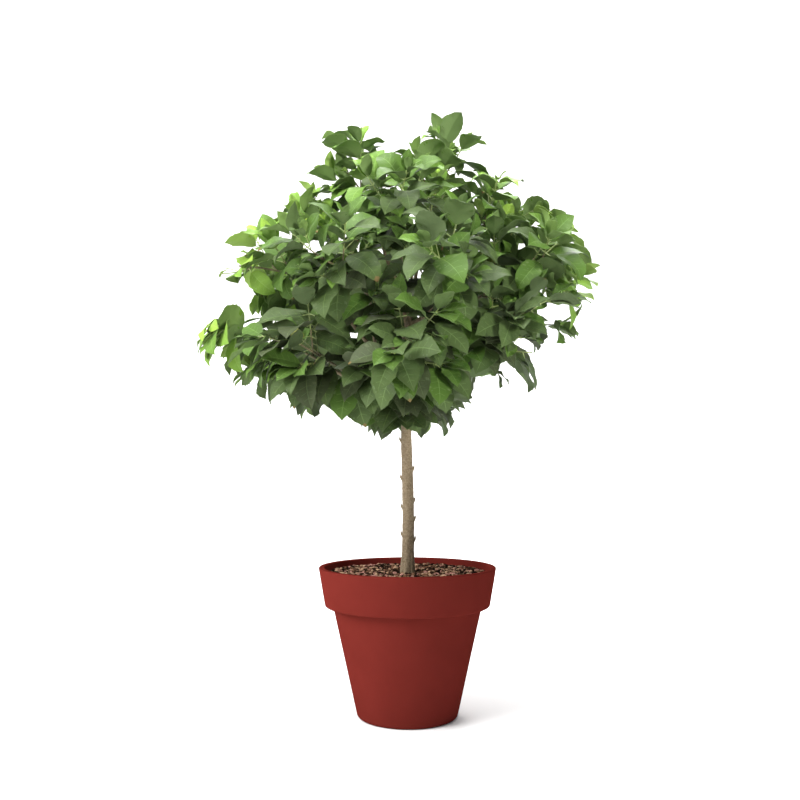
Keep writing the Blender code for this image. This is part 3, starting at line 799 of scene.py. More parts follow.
@dataclass
class Skeleton:
    """The trunk, the boughs and the stems of the masses, grown by the source's rule."""

    soil_top: float = 0.314
    trunk_top: float = 0.800
    foot_radius: float = 0.0168
    stem_radius: float = 0.0128
    top_radius: float = 0.0104
    flare_height: float = 0.034
    sway: float = 0.0022
    sway_turns: Span = (1.1, 0.7)
    sway_start: float = 1.0
    bough_tip_radius: float = 0.0034
    fork_share: float = 0.45
    fork_radius_share: float = 0.85
    leader_tip: Place = (0.032, 0.000, 1.050)
    leader_radius: float = 0.0072
    stem_tip_radius: float = 0.0019
    top_left_seat: float = 0.62
    top_left_bough_tip: Place = (-0.060, 0.014, 1.085)
    top_left_far: Place = (-0.142, 0.010, 1.245)
    top_right_far: Place = (0.088, -0.005, 1.280)
    top_seeds: tuple[int, int] = (30, 3)
    # Name, azimuth and seed.
    skirt_sides: tuple[tuple[str, float, int], ...] = (("front", 262, 28), ("back", 75, 3))
    skirt_seat: float = 0.676
    skirt_reach: float = 0.125
    skirt_height: float = 0.745
    skirt_radius: float = 0.0034
    skirt_lift: float = 0.25
    bough_rings: int = 44
    stem_rings: int = 14
    boughs: dict[str, Limb] = field(default_factory=dict)
    masses: list[Mass] = field(default_factory=list)

    def trunk_radius(self, height: float) -> float:
        """Radius of the trunk.

        Args:
            height: the height to take it at.

        Returns:
            The radius.
        """
        above, tall = height - self.soil_top, self.trunk_top - self.soil_top
        stem = self.stem_radius + (self.top_radius - self.stem_radius) * above / tall
        return stem + (self.foot_radius - self.stem_radius) * math.exp(-((above / self.flare_height) ** 2))

    def trunk_centre(self, height: float) -> Vector:
        """Middle of the trunk.

        Args:
            height: the height to take it at.

        Returns:
            The point.
        """
        share = (height - self.soil_top) / (self.trunk_top - self.soil_top)
        turns_x, turns_y = self.sway_turns
        sway_x = math.sin(math.tau * share * turns_x)
        sway_y = turns_y * math.sin(math.tau * share * turns_y + self.sway_start)
        return Vector((sway_x * self.sway, sway_y * self.sway, height))

    def trunk(self, heights: np.ndarray) -> Limb:
        """The trunk as a limb with a ring at each of these heights."""
        middles = [self.trunk_centre(height) for height in heights]
        return Limb(middles, [UP] * len(heights), [self.trunk_radius(height) for height in heights])

    def mass_on(self, bough: Limb, far: Vector, name: str, habit: Habit, seed: int) -> None:
        """Adds a mass whose stem goes on from a bough's tip."""
        ends = (self.bough_tip_radius, self.stem_tip_radius)
        self.masses.append(Mass(name, end_limb(bough, far, ends, self.stem_rings), habit, seed))

    def grow_top(self) -> Limb:
        """Grows the leader, its side bough and the two masses at the top.

        Returns:
            The leader.
        """
        trunk_end = Limb([self.trunk_centre(self.trunk_top)], [UP], [self.top_radius])
        ends = (self.leader_radius, self.bough_tip_radius)
        leader = end_limb(trunk_end, Vector(self.leader_tip), ends, self.bough_rings)
        centre, axis, radius = leader.at(self.top_left_seat)
        ends = (radius * self.fork_radius_share, self.bough_tip_radius)
        tip = Vector(self.top_left_bough_tip)
        side_bough = side_limb(centre, axis, radius, tip, UPPER.lift, ends, self.bough_rings)
        self.boughs |= {"bough_leader": leader, "bough_top_left": side_bough}
        self.mass_on(leader, Vector(self.top_right_far), "foliage_top_right", TOP_HABIT, self.top_seeds[0])
        self.mass_on(side_bough, Vector(self.top_left_far), "foliage_top_left", TOP_HABIT, self.top_seeds[1])
        return leader

    def grow_tier(self, tier: Tier, leader: Limb | None) -> None:
        """Grows the boughs and stems of a tier, on the leader or on the trunk, where every second is a fork.

        Args:
            tier: the tier.
            leader: the leader, for a tier that leaves from it.
        """
        for index, side in enumerate(tier.sides):
            azimuth = 180 + tier.turn + 360 / len(tier.sides) * index
            far = around(tier.reaches[index], azimuth, tier.heights[index])
            root_radius = tier.radius
            if leader:
                first, last = tier.seats
                share = first + (last - first) * index / (len(tier.sides) - 1)
                centre, axis, carrier_radius = leader.at(share)
            else:
                seat = tier.seats[index // 2 % 2]
                centre, axis = self.trunk_centre(seat), UP
                carrier_radius = self.trunk_radius(seat - tier.radius)
            tip = around(tier.bough_reach, azimuth, centre.z + (far.z - centre.z) * tier.bough_rise)
            if index % 2 and not leader:
                neighbour = self.boughs[f"bough_{tier.name}_{tier.sides[index - 1]}"]
                centre, axis, carrier_radius = neighbour.at(self.fork_share)
                root_radius = carrier_radius * self.fork_radius_share
            ends = (root_radius, self.bough_tip_radius)
            bough = side_limb(centre, axis, carrier_radius, tip, tier.lift, ends, self.bough_rings)
            self.boughs[f"bough_{tier.name}_{side}"] = bough
            self.mass_on(bough, far, f"foliage_{tier.name}_{side}", tier.habit, tier.seeds[index])

    def grow_skirt(self) -> None:
        """Grows the stems of the small masses that hang round the trunk."""
        for side, azimuth, seed in self.skirt_sides:
            far = around(self.skirt_reach, azimuth, self.skirt_height)
            centre = self.trunk_centre(self.skirt_seat)
            radius = self.trunk_radius(self.skirt_seat - self.skirt_radius)
            ends = (self.skirt_radius, self.stem_tip_radius)
            stem = side_limb(centre, UP, radius, far, self.skirt_lift, ends, self.stem_rings)
            self.masses.append(Mass(f"foliage_skirt_{side}", stem, SKIRT_HABIT, seed))

    def grow(self) -> None:
        """Grows all limbs."""
        leader = self.grow_top()
        self.grow_tier(UPPER, leader)
        self.grow_tier(MID, None)
        self.grow_tier(LOW, None)
        self.grow_skirt()


@dataclass
class Space:
    """The space that each mass keeps to: nearer to the outer part of its own stem than to any other's."""

    masses: list[Mass]
    outer_from: float = 0.35
    clearance: float = 0.0008

    def __post_init__(self) -> None:
        """Takes the outer part of each mass's stem as a straight stick."""
        self.sticks = {}
        for mass in self.masses:
            self.sticks[mass.name] = (mass.stem.at(self.outer_from)[0], mass.stem.points[-1])

    def distance(self, name: str, point: Vector) -> float:
        """Distance from a point to the outer part of a stem.

        Args:
            name: the mass whose stem it is.
            point: the point.

        Returns:
            The distance.
        """
        start, end = self.sticks[name]
        along = end - start
        share = min(1, max(0, (point - start).dot(along) / along.length_squared))
        return (point - start - along * share).length

    def holds(self, name: str, points: list[Vector]) -> bool:
        """Tells whether points are in a mass's own space.

        Args:
            name: the mass.
            points: the points.

        Returns:
            True if all of them are.
        """
        for point in points:
            own = self.distance(name, point) + self.clearance
            if any(self.distance(other, point) < own for other in self.sticks if other != name):
                return False
        return True


@dataclass(frozen=True)
class CrownOutline:
    """The outline of the crown and the openings in it, seen from the front in the trunk's upright plane."""

    eye: Place = CAMERA_PLACE
    # Height and sideways place of each turn of the two edges, from below.
    left_edge: tuple[Span, ...] = (
        (0.595, -0.015), (0.640, -0.120), (0.660, -0.280), (0.705, -0.350), (0.745, -0.455), (0.815, -0.495),
        (0.890, -0.455), (0.930, -0.445), (0.955, -0.345), (0.975, -0.435), (1.000, -0.435), (1.015, -0.410),
        (1.040, -0.465), (1.100, -0.415), (1.125, -0.345), (1.145, -0.340), (1.190, -0.265), (1.275, -0.235),
        (1.340, -0.190), (1.360, -0.115), (1.385, 0.045), (1.400, 0.045),
    )
    right_edge: tuple[Span, ...] = (
        (0.595, 0.020), (0.620, 0.090), (0.680, 0.130), (0.705, 0.235), (0.725, 0.295), (0.785, 0.295),
        (0.805, 0.270), (0.850, 0.400), (0.890, 0.385), (0.910, 0.435), (1.015, 0.450), (1.080, 0.405),
        (1.105, 0.420), (1.145, 0.415), (1.165, 0.335), (1.210, 0.275), (1.255, 0.240), (1.275, 0.160),
        (1.295, 0.195), (1.340, 0.165), (1.385, 0.150), (1.400, 0.075),
    )
    # Sideways place, height and radius: under the right boughs, beside them, between the two peaks, between
    # the left boughs, along the lower left, high on both sides, and on both sides of the trunk.
    openings: tuple[tuple[float, float, float], ...] = (
        (0.180, 0.730, 0.032), (0.255, 0.735, 0.020), (0.225, 0.785, 0.018), (0.265, 0.830, 0.018),
        (0.355, 0.910, 0.022), (0.315, 0.910, 0.014), (0.330, 0.840, 0.012),
        (-0.020, 1.345, 0.028), (0.030, 1.360, 0.020), (-0.070, 1.340, 0.020), (-0.010, 1.305, 0.014),
        (-0.375, 0.930, 0.018), (-0.375, 0.975, 0.016), (-0.400, 1.020, 0.014), (-0.215, 1.060, 0.016),
        (-0.330, 1.050, 0.012), (-0.320, 0.840, 0.012),
        (-0.190, 0.670, 0.020), (-0.435, 0.750, 0.016), (-0.360, 0.725, 0.014), (-0.290, 0.695, 0.014),
        (0.210, 1.250, 0.014), (-0.115, 1.220, 0.014), (0.145, 1.285, 0.012), (-0.165, 1.235, 0.012),
        (0.120, 1.330, 0.012), (0.365, 1.150, 0.012),
        (-0.030, 0.620, 0.020), (0.010, 0.615, 0.020), (0.060, 0.618, 0.020),
    )
    # How far outside the edges a point may be seen, and how many points of a leaf may be further out.
    slack: float = 0.005
    strays: int = 2

    def holds(self, points: np.ndarray) -> bool:
        """Tells whether a leaf is seen inside the edges and outside the openings.

        Args:
            points: points of the leaf.

        Returns:
            True if all but a few of them are.
        """
        eye = np.array(self.eye)
        scale = -eye[1] / (points[:, 1] - eye[1])
        across = eye[0] + (points[:, 0] - eye[0]) * scale
        height = eye[2] + (points[:, 2] - eye[2]) * scale
        edges = (self.left_edge, self.right_edge)
        left, right = (np.interp(height, *np.array(edge).T, 0.0, 0.0) for edge in edges)
        out = (across < left - self.slack) | (across > right + self.slack)
        places = np.array(self.openings)
        apart = np.hypot(across[:, None] - places[:, 0], height[:, None] - places[:, 1])
        out |= (apart < places[:, 2]).any(axis=1)
        return int(out.sum()) <= self.strays


# Bark


@dataclass
class Bark:
    """The trunk and boughs, with the relief of their bark."""

    skeleton: Skeleton
    trunk_sides: int = 72
    trunk_rings: int = 300
    bough_sides: int = 16
    collar_swell: float = 0.55
    collar_length: float = 0.010
    root_sink: float = 0.004
    crown_taper: float = 0.016
    fissure: float = 0.00050
    fissure_scale: float = 190.0
    fissure_stretch: float = 0.22
    fissure_smoothness: float = 0.8
    unevenness: float = 0.00055
    unevenness_scale: float = 45.0
    # Limbs in different places get different relief by this much of their place.
    relief_shift: float = 3
    foot_rib: float = 0.0011
    # Number, strength and turn of each set of ribs at the foot.
    foot_ribs: tuple[tuple[int, float, float], ...] = ((7, 1.0, 1.3), (11, 0.5, 0.0))
    foot_rib_height: float = 0.045
    # Height and bearing in degrees of each bud scar.
    bud_scars: tuple[Span, ...] = (
        (0.386, 10), (0.398, 188), (0.433, -8), (0.460, 176), (0.474, 15), (0.503, 262), (0.525, 184),
        (0.546, 352), (0.575, 95), (0.611, 178), (0.640, 20), (0.668, 200),
    )
    scar_proud: float = 0.0019
    scar_width: float = 0.0036
    scar_height: float = 0.0058
    scar_ring: float = 0.00085
    scar_ring_height: float = 0.0019
    scar_ring_tilt: float = 0.0012
    scar_ring_evenness: float = 0.6
    # Depth of the groove under a ring as a share of the ring's, and how far below it is in ring heights.
    scar_groove: float = 0.7
    scar_groove_drop: float = 2.4
    # How far a stub stands out and up, and its radius at its root and tip.
    stub_reach: float = 0.0040
    stub_rise: float = 0.0088
    stub_radii: Span = (0.0030, 0.0017)
    stub_rings: int = 7
    stub_sides: int = 8
    # How much the bark thickens the trunk, over what height this fades, and how far below its top it ends.
    thickening: float = 0.11
    thickening_fade: float = 0.09
    thickening_end: float = 0.12
    sharp_angle: float = 70
    trunk_finish: Finish = Finish(
        "trunk_bark", colour=(0.250, 0.192, 0.122), second=(0.112, 0.084, 0.048), patches=330,
        stretch=0.8, smoothest=0.70, roughest=0.90, grain=420, relief=0.0009, specular=0.25,
    )
    bough_finish: Finish = Finish(
        "bough_bark", colour=(0.175, 0.135, 0.075), second=(0.085, 0.070, 0.036), patches=120,
        smoothest=0.65, roughest=0.85, grain=600, relief=0.0006, specular=0.3,
    )

    def relief(self, limb: Limb, sides: int) -> np.ndarray:
        """The fissures and unevenness of a limb's bark.

        Args:
            limb: the limb.
            sides: number of sides of its tube.

        Returns:
            The height of the bark at each ring and corner.
        """
        along = limb.distances()
        found = np.zeros((len(limb.points), sides))
        angles = limb.ring_angles(sides)
        for ring, (point, radius) in enumerate(zip(limb.points, limb.radii)):
            shift = Vector((point.x, point.y, 0)) * self.relief_shift
            for corner, angle in enumerate(angles):
                across = Vector((math.cos(angle), math.sin(angle), 0)) * radius + shift
                spot = across + UP * along[ring]
                fine = Vector((across.x, across.y, along[ring] * self.fissure_stretch)) * self.fissure_scale
                found[ring, corner] = self.fissure * fractal(fine, self.fissure_smoothness)
                found[ring, corner] += self.unevenness * noise.noise(spot * self.unevenness_scale)
        return found

    def scars(self, limb: Limb, angles: np.ndarray) -> np.ndarray:
        """The old bud scars on the trunk, each a small swelling on a faint ring.

        Args:
            limb: the trunk.
            angles: angles of the corners of its rings.

        Returns:
            The height of the scars at each ring and corner.
        """
        heights = np.array([point.z for point in limb.points])[:, None]
        side = ring_side(UP)
        over = side.cross(UP)
        to_right, to_back = (np.cos(angles) * side[axis] + np.sin(angles) * over[axis] for axis in (0, 1))
        bearings = np.arctan2(to_back, to_right)[None, :]
        found = np.zeros((len(heights), len(angles)))
        for height, bearing in self.bud_scars:
            turn = (bearings - math.radians(bearing) + math.pi) % math.tau - math.pi
            arc = turn * self.skeleton.trunk_radius(height)
            rise = heights - height
            beside, above = np.abs(arc) / self.scar_width, np.abs(rise) / self.scar_height
            ring = np.exp(-(((rise + self.scar_ring_tilt * np.cos(turn)) / self.scar_ring_height) ** 2))
            drop = self.scar_groove_drop * self.scar_ring_height
            groove = self.scar_groove * np.exp(-(((rise + drop) / self.scar_ring_height) ** 2))
            strength = self.scar_ring_evenness + (1 - self.scar_ring_evenness) * np.cos(turn)
            rings = self.scar_ring * (ring - groove) * strength
            found += self.scar_proud * np.exp(-(beside**3) - above**3) + rings
        return found

    def build_trunk(self) -> None:
        """Makes the trunk, from its flat cut on the soil to the fork."""
        skeleton = self.skeleton
        foot = skeleton.soil_top + SEAT_GAP
        heights = np.linspace(foot, skeleton.trunk_top, self.trunk_rings)
        limb = skeleton.trunk(heights)
        angles = limb.ring_angles(self.trunk_sides)
        ribs = sum(strength * np.sin(count * angles + turn) for count, strength, turn in self.foot_ribs)
        fade = np.exp(-((heights - foot) / self.foot_rib_height))
        end = skeleton.trunk_top - self.thickening_end
        ends = np.clip(np.minimum(heights - foot, end - heights) / self.thickening_fade, 0, 1)
        thicker = 1 + self.thickening * ends**2 * (3 - 2 * ends)
        radii = (np.array(limb.radii) * thicker)[:, None] + self.relief(limb, self.trunk_sides)
        radii += self.foot_rib * fade[:, None] * ribs[None, :] + self.scars(limb, angles)
        to_top = np.clip((skeleton.trunk_top - heights) / self.crown_taper, 0, 1)
        share = skeleton.leader_radius / skeleton.top_radius
        radii *= (share + (1 - share) * np.sqrt(1 - (1 - to_top) ** 2))[:, None]
        parts = MeshParts()
        parts.add(*limb.tube(self.trunk_sides, radii))
        for height, bearing in self.bud_scars:
            out = around(1, bearing, 0)
            root = skeleton.trunk_centre(height) + out * skeleton.trunk_radius(height)
            tip = root + out * self.stub_reach + UP * self.stub_rise
            stub = limb_curve(root, out, tip, self.stub_radii, self.stub_rings)
            parts.add(*stub.tube(self.stub_sides))
        piece = parts.piece("trunk_bark", [self.trunk_finish.material()], self.sharp_angle)
        dress(piece, ["trunk"])

    def build_boughs(self) -> None:
        """Makes the boughs as one piece, each with a swollen collar where it leaves its carrier."""
        parts = MeshParts()
        for limb in self.skeleton.boughs.values():
            swell = 1 + self.collar_swell * np.exp(-limb.distances() / self.collar_length)
            radii = (np.array(limb.radii) * swell)[:, None] + self.relief(limb, self.bough_sides)
            first = limb.points[0] - limb.directions[0] * self.root_sink
            sunk = Limb([first] + limb.points[1:], limb.directions, limb.radii)
            parts.add(*sunk.tube(self.bough_sides, radii))
        piece = parts.piece("bough_bark", [self.bough_finish.material()], self.sharp_angle)
        dress(piece, sorted(self.skeleton.boughs))


# Leaves


class Tone(Enum):
    """The greens that leaves are dealt, darkest to lightest, by age and by painted shade and light in the
    crown, and two that few leaves have.
    """

    DEEP = 0
    DARK = 1
    GREEN = 2
    FRESH = 3
    BRIGHT = 4
    LIME = 5
    YELLOWED = 6
    BROWNED = 7


class Area(Enum):
    """The areas of a blade, in the order of the materials of a tone."""

    UPPER = 0
    UNDER = 1
    RIB = 2
    VEIN = 3


@dataclass(frozen=True)
class LeafFinish:
    """The finish of a tone of leaf: its upper side, its paler underside and its rib."""

    upper: Colour
    under: Colour
    rib: Colour
    smoothest: float = 0.44
    roughest: float = 0.50
    # How much more matt each area is.
    matts: tuple[float, ...] = (0, 0.2, 0.1, 0.1)

    def materials(self, tone: Tone) -> list[bpy.types.Material]:
        """Makes the materials of all areas.

        Args:
            tone: the tone.

        Returns:
            The new materials.
        """
        # A vein's colour is two parts the rib's and one part the upper side's.
        vein = tuple((upper + 2 * rib) / 3 for upper, rib in zip(self.upper, self.rib))
        return [
            Finish(
                f"leaf_{tone.name.lower()}_{area.name.lower()}", colour, smoothest=self.smoothest + matt,
                roughest=self.roughest + matt, grain=260, relief=0.0004, specular=0.08,
            ).material()
            for area, colour, matt in zip(Area, (self.upper, self.under, self.rib, vein), self.matts)
        ]


LEAF_FINISHES = {
    Tone.DEEP: LeafFinish((0.043, 0.056, 0.025), (0.070, 0.088, 0.044), (0.078, 0.106, 0.046)),
    Tone.DARK: LeafFinish((0.050, 0.077, 0.025), (0.076, 0.108, 0.046), (0.088, 0.136, 0.045)),
    Tone.GREEN: LeafFinish((0.057, 0.107, 0.020), (0.098, 0.147, 0.052), (0.105, 0.176, 0.046)),
    Tone.FRESH: LeafFinish((0.083, 0.156, 0.025), (0.122, 0.187, 0.060), (0.142, 0.236, 0.054)),
    Tone.BRIGHT: LeafFinish((0.122, 0.218, 0.032), (0.155, 0.238, 0.067), (0.165, 0.270, 0.055)),
    Tone.LIME: LeafFinish((0.180, 0.290, 0.042), (0.205, 0.305, 0.075), (0.230, 0.345, 0.068)),
    Tone.YELLOWED: LeafFinish((0.175, 0.195, 0.045), (0.190, 0.210, 0.070), (0.230, 0.250, 0.080)),
    Tone.BROWNED: LeafFinish((0.115, 0.083, 0.032), (0.130, 0.100, 0.045), (0.145, 0.115, 0.050), 0.6, 0.8),
}


@dataclass(frozen=True)
class PaintedLightZone:
    """A part of the crown whose leaves get painted light (more steps) and painted shade (fewer steps): how
    many steps, and where each axis starts it and fills it.
    """

    steps: float
    x: Span | None = None
    y: Span | None = None
    z: Span | None = None

    def share(self, place: Vector) -> float:
        """How far a place is in the zone, from 0 to 1."""
        return math.prod(ramp(at, *span) for at, span in zip(place, (self.x, self.y, self.z)) if span)


@dataclass(frozen=True)
class Dealing:
    """How a leaf's tone goes with its age and its mass's youth, and with painted shade and light from its
    place in the crown, in steps of tone.
    """

    youngest: float = 4.7
    fall_with_age: float = 2.3
    fall_in_old_masses: float = 0.8
    # Painted shade: leaves deep inside the crown are darker by this many steps.
    painted_shade_inside: float = 1.0
    spread: float = 0.45
    # The crown's middle height, its radius, and its width as a share of its height.
    middle: float = 0.90
    radius: float = 0.36
    upright: float = 1.1
    # Painted shade under the crown: leaves low in it are darker.
    under: PaintedLightZone = PaintedLightZone(-1.4, z=(0.90, 0.78))
    # How much weaker the painted shade under the crown is at the outside of the crown.
    under_shade_outside_fade: float = 0.4
    # Painted shade at the front: leaves at the front, below the top of the crown, are darker.
    front: PaintedLightZone = PaintedLightZone(-1.4, y=(-0.06, -0.24), z=(1.26, 1.14))
    # Painted light and shade: leaves at both sides and on the left are lighter, low on the right darker, on
    # the right above that lighter, and at the top darker.
    painted_light_and_shade_zones: tuple[PaintedLightZone, ...] = (
        PaintedLightZone(1.1, x=(0.26, 0.38)), PaintedLightZone(1.1, x=(-0.26, -0.38)), PaintedLightZone(0.6, x=(-0.14, -0.32)),
        PaintedLightZone(-0.9, x=(0.12, 0.30), z=(0.92, 0.84)), PaintedLightZone(0.5, x=(0.12, 0.28), z=(0.92, 1.00)),
        PaintedLightZone(-0.4, z=(1.18, 1.30)),
    )
    # Painted shade low in the crown: only leaves below this height may take the deepest green.
    deep_below: float = 0.94

    def tone(self, mass: Mass, age: float, base: Vector) -> Tone:
        """The tone of a leaf.

        Args:
            mass: its mass.
            age: 0 for the youngest leaf, 1 for the oldest.
            base: where its blade starts.

        Returns:
            The tone.
        """
        out = ramp(math.hypot(base.x, base.y, (base.z - self.middle) * self.upright), 0, self.radius)
        # Painted shade under, inside and at the front of the crown, and painted light and shade from the
        # other zones.
        under = self.under.share(base) * (1 - out * self.under_shade_outside_fade)
        front = self.front.share(base) * (1 - under)
        level = self.youngest - self.fall_with_age * age - self.fall_in_old_masses * (1 - mass.habit.youth)
        level += self.under.steps * under + self.front.steps * front - self.painted_shade_inside * (1 - out)
        level += sum(zone.steps * zone.share(base) for zone in self.painted_light_and_shade_zones) + mass.draw.gauss(0, self.spread)
        darkest = Tone.DEEP if base.z < self.deep_below else Tone.DARK
        return Tone(min(Tone.LIME.value, max(darkest.value, round(level))))


@dataclass
class Leaf:
    """One leaf: where its blade starts, how it points and faces, its length and tone, and its traits."""

    base: Vector
    direction: Vector
    upper: Vector
    length: float
    tone: Tone
    width: float
    rise: float
    arch: float
    curl: float
    fold: float
    twist: float
    wave: float
    phase: float
    fullness: float
    toothed: float
    browned: float = 0.0


@dataclass(frozen=True)
class LeafSeat:
    """Where a leaf may grow: its stalk's root, its aim, its twig's direction, its age and its length."""

    mass: Mass
    root: Vector
    direction: Vector
    along: Vector
    # From 0 for the youngest leaf to 1 for the oldest.
    age: float
    length: float


@dataclass(frozen=True)
class Trait:
    """A trait of leaves: its range, the factors on it at both ends of their ages, and what age adds to it."""

    low: float
    high: float
    young: float = 1.0
    old: float = 1.0
    # The age from which leaves count as old here.
    old_from: float = 1.0
    added: float = 0.0

    def pick(self, age: float, draw: random.Random) -> float:
        """One leaf's own value."""
        factor = self.young + (self.old - self.young) * min(1, age / self.old_from)
        return draw.uniform(self.low, self.high) * factor + self.added * age


# Rise, arch, curl, fold and twist are in degrees, rise and arch for a habit with an arch of 1.
TRAITS = {
    "width": Trait(0.56, 0.70, young=0.72, old_from=0.4),
    "rise": Trait(0.2, 0.5),
    "arch": Trait(0.8, 1.35, young=0.7, old=1.2),
    "curl": Trait(0, 38, young=0.4),
    "fold": Trait(18, 32, added=-14),
    "twist": Trait(-28, 28),
    "wave": Trait(0.012, 0.042),
    "phase": Trait(0, math.tau),
    "fullness": Trait(0.84, 0.98, added=0.34),
    "toothed": Trait(0.2, 1.4, young=0.5),
}


def gathered(leaves: list[Leaf], *names: str) -> list[np.ndarray]:
    """Properties of leaves, each as an array with a row for a leaf and an axis to spread over its points."""
    return [np.array([getattr(leaf, name) for leaf in leaves])[:, None] for name in names]


class BladeRow(NamedTuple):
    """A row of points across a blade: its place along the rib, 1 on a vein, and how far its margin is out."""

    place: float
    vein: float
    margin: float


@dataclass(frozen=True)
class BladeShape:
    """The shape of a blade: pointed-oval outline, a rib, and veins in pairs that slant towards the tip."""

    veins: tuple[float, ...] = (0.12, 0.27, 0.42, 0.57, 0.72)
    vein_width: float = 0.013
    # Place and margin of the rows near the ends.
    ends: tuple[Span, ...] = ((0.05, 0.0), (0.86, 0.7), (0.91, -0.6))
    dip_after: float = 0.055
    strips: tuple[float, ...] = (-1.0, -0.52, -0.035, 0.035, 0.52, 1.0)
    slant: float = 0.13
    outline_skew: float = 0.86
    stoutness: float = 1.12
    tip_draw: float = 0.80
    tip_power: float = 11
    tooth: float = 0.055
    teeth_from: float = 0.25
    teeth_full: float = 0.50
    groove: float = 0.0006
    camber: float = 0.10
    thickness: float = 0.0005
    rib_depth: float = 0.0007
    least_width: float = 0.0007
    rib_width: float = 0.12
    # The part of a blade's half width that is its margin, and the length of blades with the full relief.
    margin_from: float = 0.9
    full_length: float = 0.06
    waves: float = 2.1
    wave_shift: float = 2.0
    curl_from: float = 0.7
    curl_over: float = 0.3
    arch_power: float = 1.3
    curl_power: float = 1.5
    steps: int = 16
    # Places along and across of the points of a coarse copy.
    guard_along: tuple[float, ...] = (0.14, 0.32, 0.50, 0.68, 0.86, 1.0)
    guard_across: tuple[float, ...] = (-1.0, -0.5, 0.0, 0.5, 1.0)

    def rows(self) -> list[BladeRow]:
        """The rows of points of a blade.

        Returns:
            The rows, from its base to its tip.
        """
        found = [BladeRow(place, 0.0, margin) for place, margin in ((0.0, 0.0), (1.0, 0.0), *self.ends)]
        for vein in self.veins:
            found += [BladeRow(vein, 1.0, 0.5), BladeRow(vein + self.vein_width, 1.0, 1.0)]
            found.append(BladeRow(vein + self.dip_after, 0.0, -1.0))
        return sorted(found)

    def outline(self, share: np.ndarray, fullness: np.ndarray) -> np.ndarray:
        """Half width of blades.

        Args:
            share: places along the rib.
            fullness: the blades' fullness, as a column.

        Returns:
            The half widths, 1 at the widest, with a row for each blade.
        """
        share = np.clip(share, 0, 1)
        swell = np.maximum(0, np.sin(np.pi * share**self.outline_skew))
        tip = 1 - self.tip_draw * share**self.tip_power
        return swell[None, :] ** (1 / (fullness * self.stoutness)) * tip[None, :]

    def rib(self, leaves: list[Leaf], share: np.ndarray) -> tuple[np.ndarray, np.ndarray]:
        """The ribs of blades, which rise from their stalks, arch over and curl at their tips.

        Args:
            leaves: the leaves.
            share: places along the rib.

        Returns:
            The way from the base to each place, for a blade of length 1, and the normal there.
        """
        rise, arch, curl = np.radians(gathered(leaves, "rise", "arch", "curl"))
        ahead, upper = gathered(leaves, "direction", "upper")

        def turn_at(place: np.ndarray) -> np.ndarray:
            """Angle of the rib at places along it."""
            late = np.clip((place - self.curl_from) / self.curl_over, 0, 1) ** self.curl_power
            return rise - arch * place**self.arch_power - curl * late

        steps = np.linspace(0, 1, self.steps + 1)
        turns = turn_at((steps[1:] + steps[:-1])[None, :] / 2)
        place = share * self.steps
        index = np.minimum(place.astype(int), self.steps - 1)
        part = place - index
        start = np.zeros((len(leaves), 1))
        way = 0
        for axis, moves in ((ahead, np.cos(turns)), (upper, np.sin(turns))):
            reached = np.concatenate([start, np.cumsum(moves, axis=1)], axis=1) / self.steps
            here = reached[:, index] * (1 - part) + reached[:, index + 1] * part
            way = way + here[..., None] * axis
        turn = turn_at(share[None, :])[..., None]
        return way, np.cos(turn) * upper - np.sin(turn) * ahead

    def points(
        self, leaves: list[Leaf], share: np.ndarray, across: np.ndarray, groove: np.ndarray,
        margin: np.ndarray, below: bool = False,
    ) -> np.ndarray:
        """Points of blades.

        Args:
            leaves: the leaves.
            share: each point's place along the rib.
            across: its place across, from -1 to 1.
            groove: 1 where it lies on a vein.
            margin: how far the margin stands out there, from -1 to 1.
            below: whether the points are on the underside.

        Returns:
            An array of leaf, point and axis.
        """
        share = np.minimum(1, share + self.slant * np.abs(across) * 4 * share * (1 - share))
        way, normal = self.rib(leaves, share)
        base, ahead, upper, length, width = gathered(leaves, "base", "direction", "upper", "length", "width")
        wave, phase, fullness, toothed = gathered(leaves, "wave", "phase", "fullness", "toothed")
        fold, twist = np.radians(gathered(leaves, "fold", "twist"))
        beside = np.cross(ahead, upper)
        twist = (twist * share[None, :])[..., None]
        lateral = np.cos(twist) * beside + np.sin(twist) * normal
        normal = np.cos(twist) * normal - np.sin(twist) * beside
        half = width * length / 2 * self.outline(share, fullness)
        teeth = np.clip((share - self.teeth_from) / (self.teeth_full - self.teeth_from), 0, 1) * margin
        teeth = teeth * (np.abs(across) > self.margin_from)
        half = half * (1 + self.tooth * toothed * teeth[None, :]) + self.least_width / 2
        level = np.abs(across)[None, :]
        sideways = across[None, :] * half * np.cos(fold)
        start = phase + np.where(across > 0, self.wave_shift, 0.0)
        ripple = np.sin(math.tau * self.waves * share[None, :] + start)
        strength = np.minimum(1, length / self.full_length)
        up = level * half * np.sin(fold) - self.camber * level**2 * half
        up = up + wave * length * level**2 * ripple * np.sin(np.pi * share)[None, :]
        up = up - self.groove * groove[None, :] * (level < self.margin_from) * strength
        if below:
            ridge = np.exp(-((level / self.rib_width) ** 2)) * (1 - share[None, :]) * strength
            up = up - self.thickness - self.rib_depth * ridge
        return base + length[..., None] * way + sideways[..., None] * lateral + up[..., None] * normal

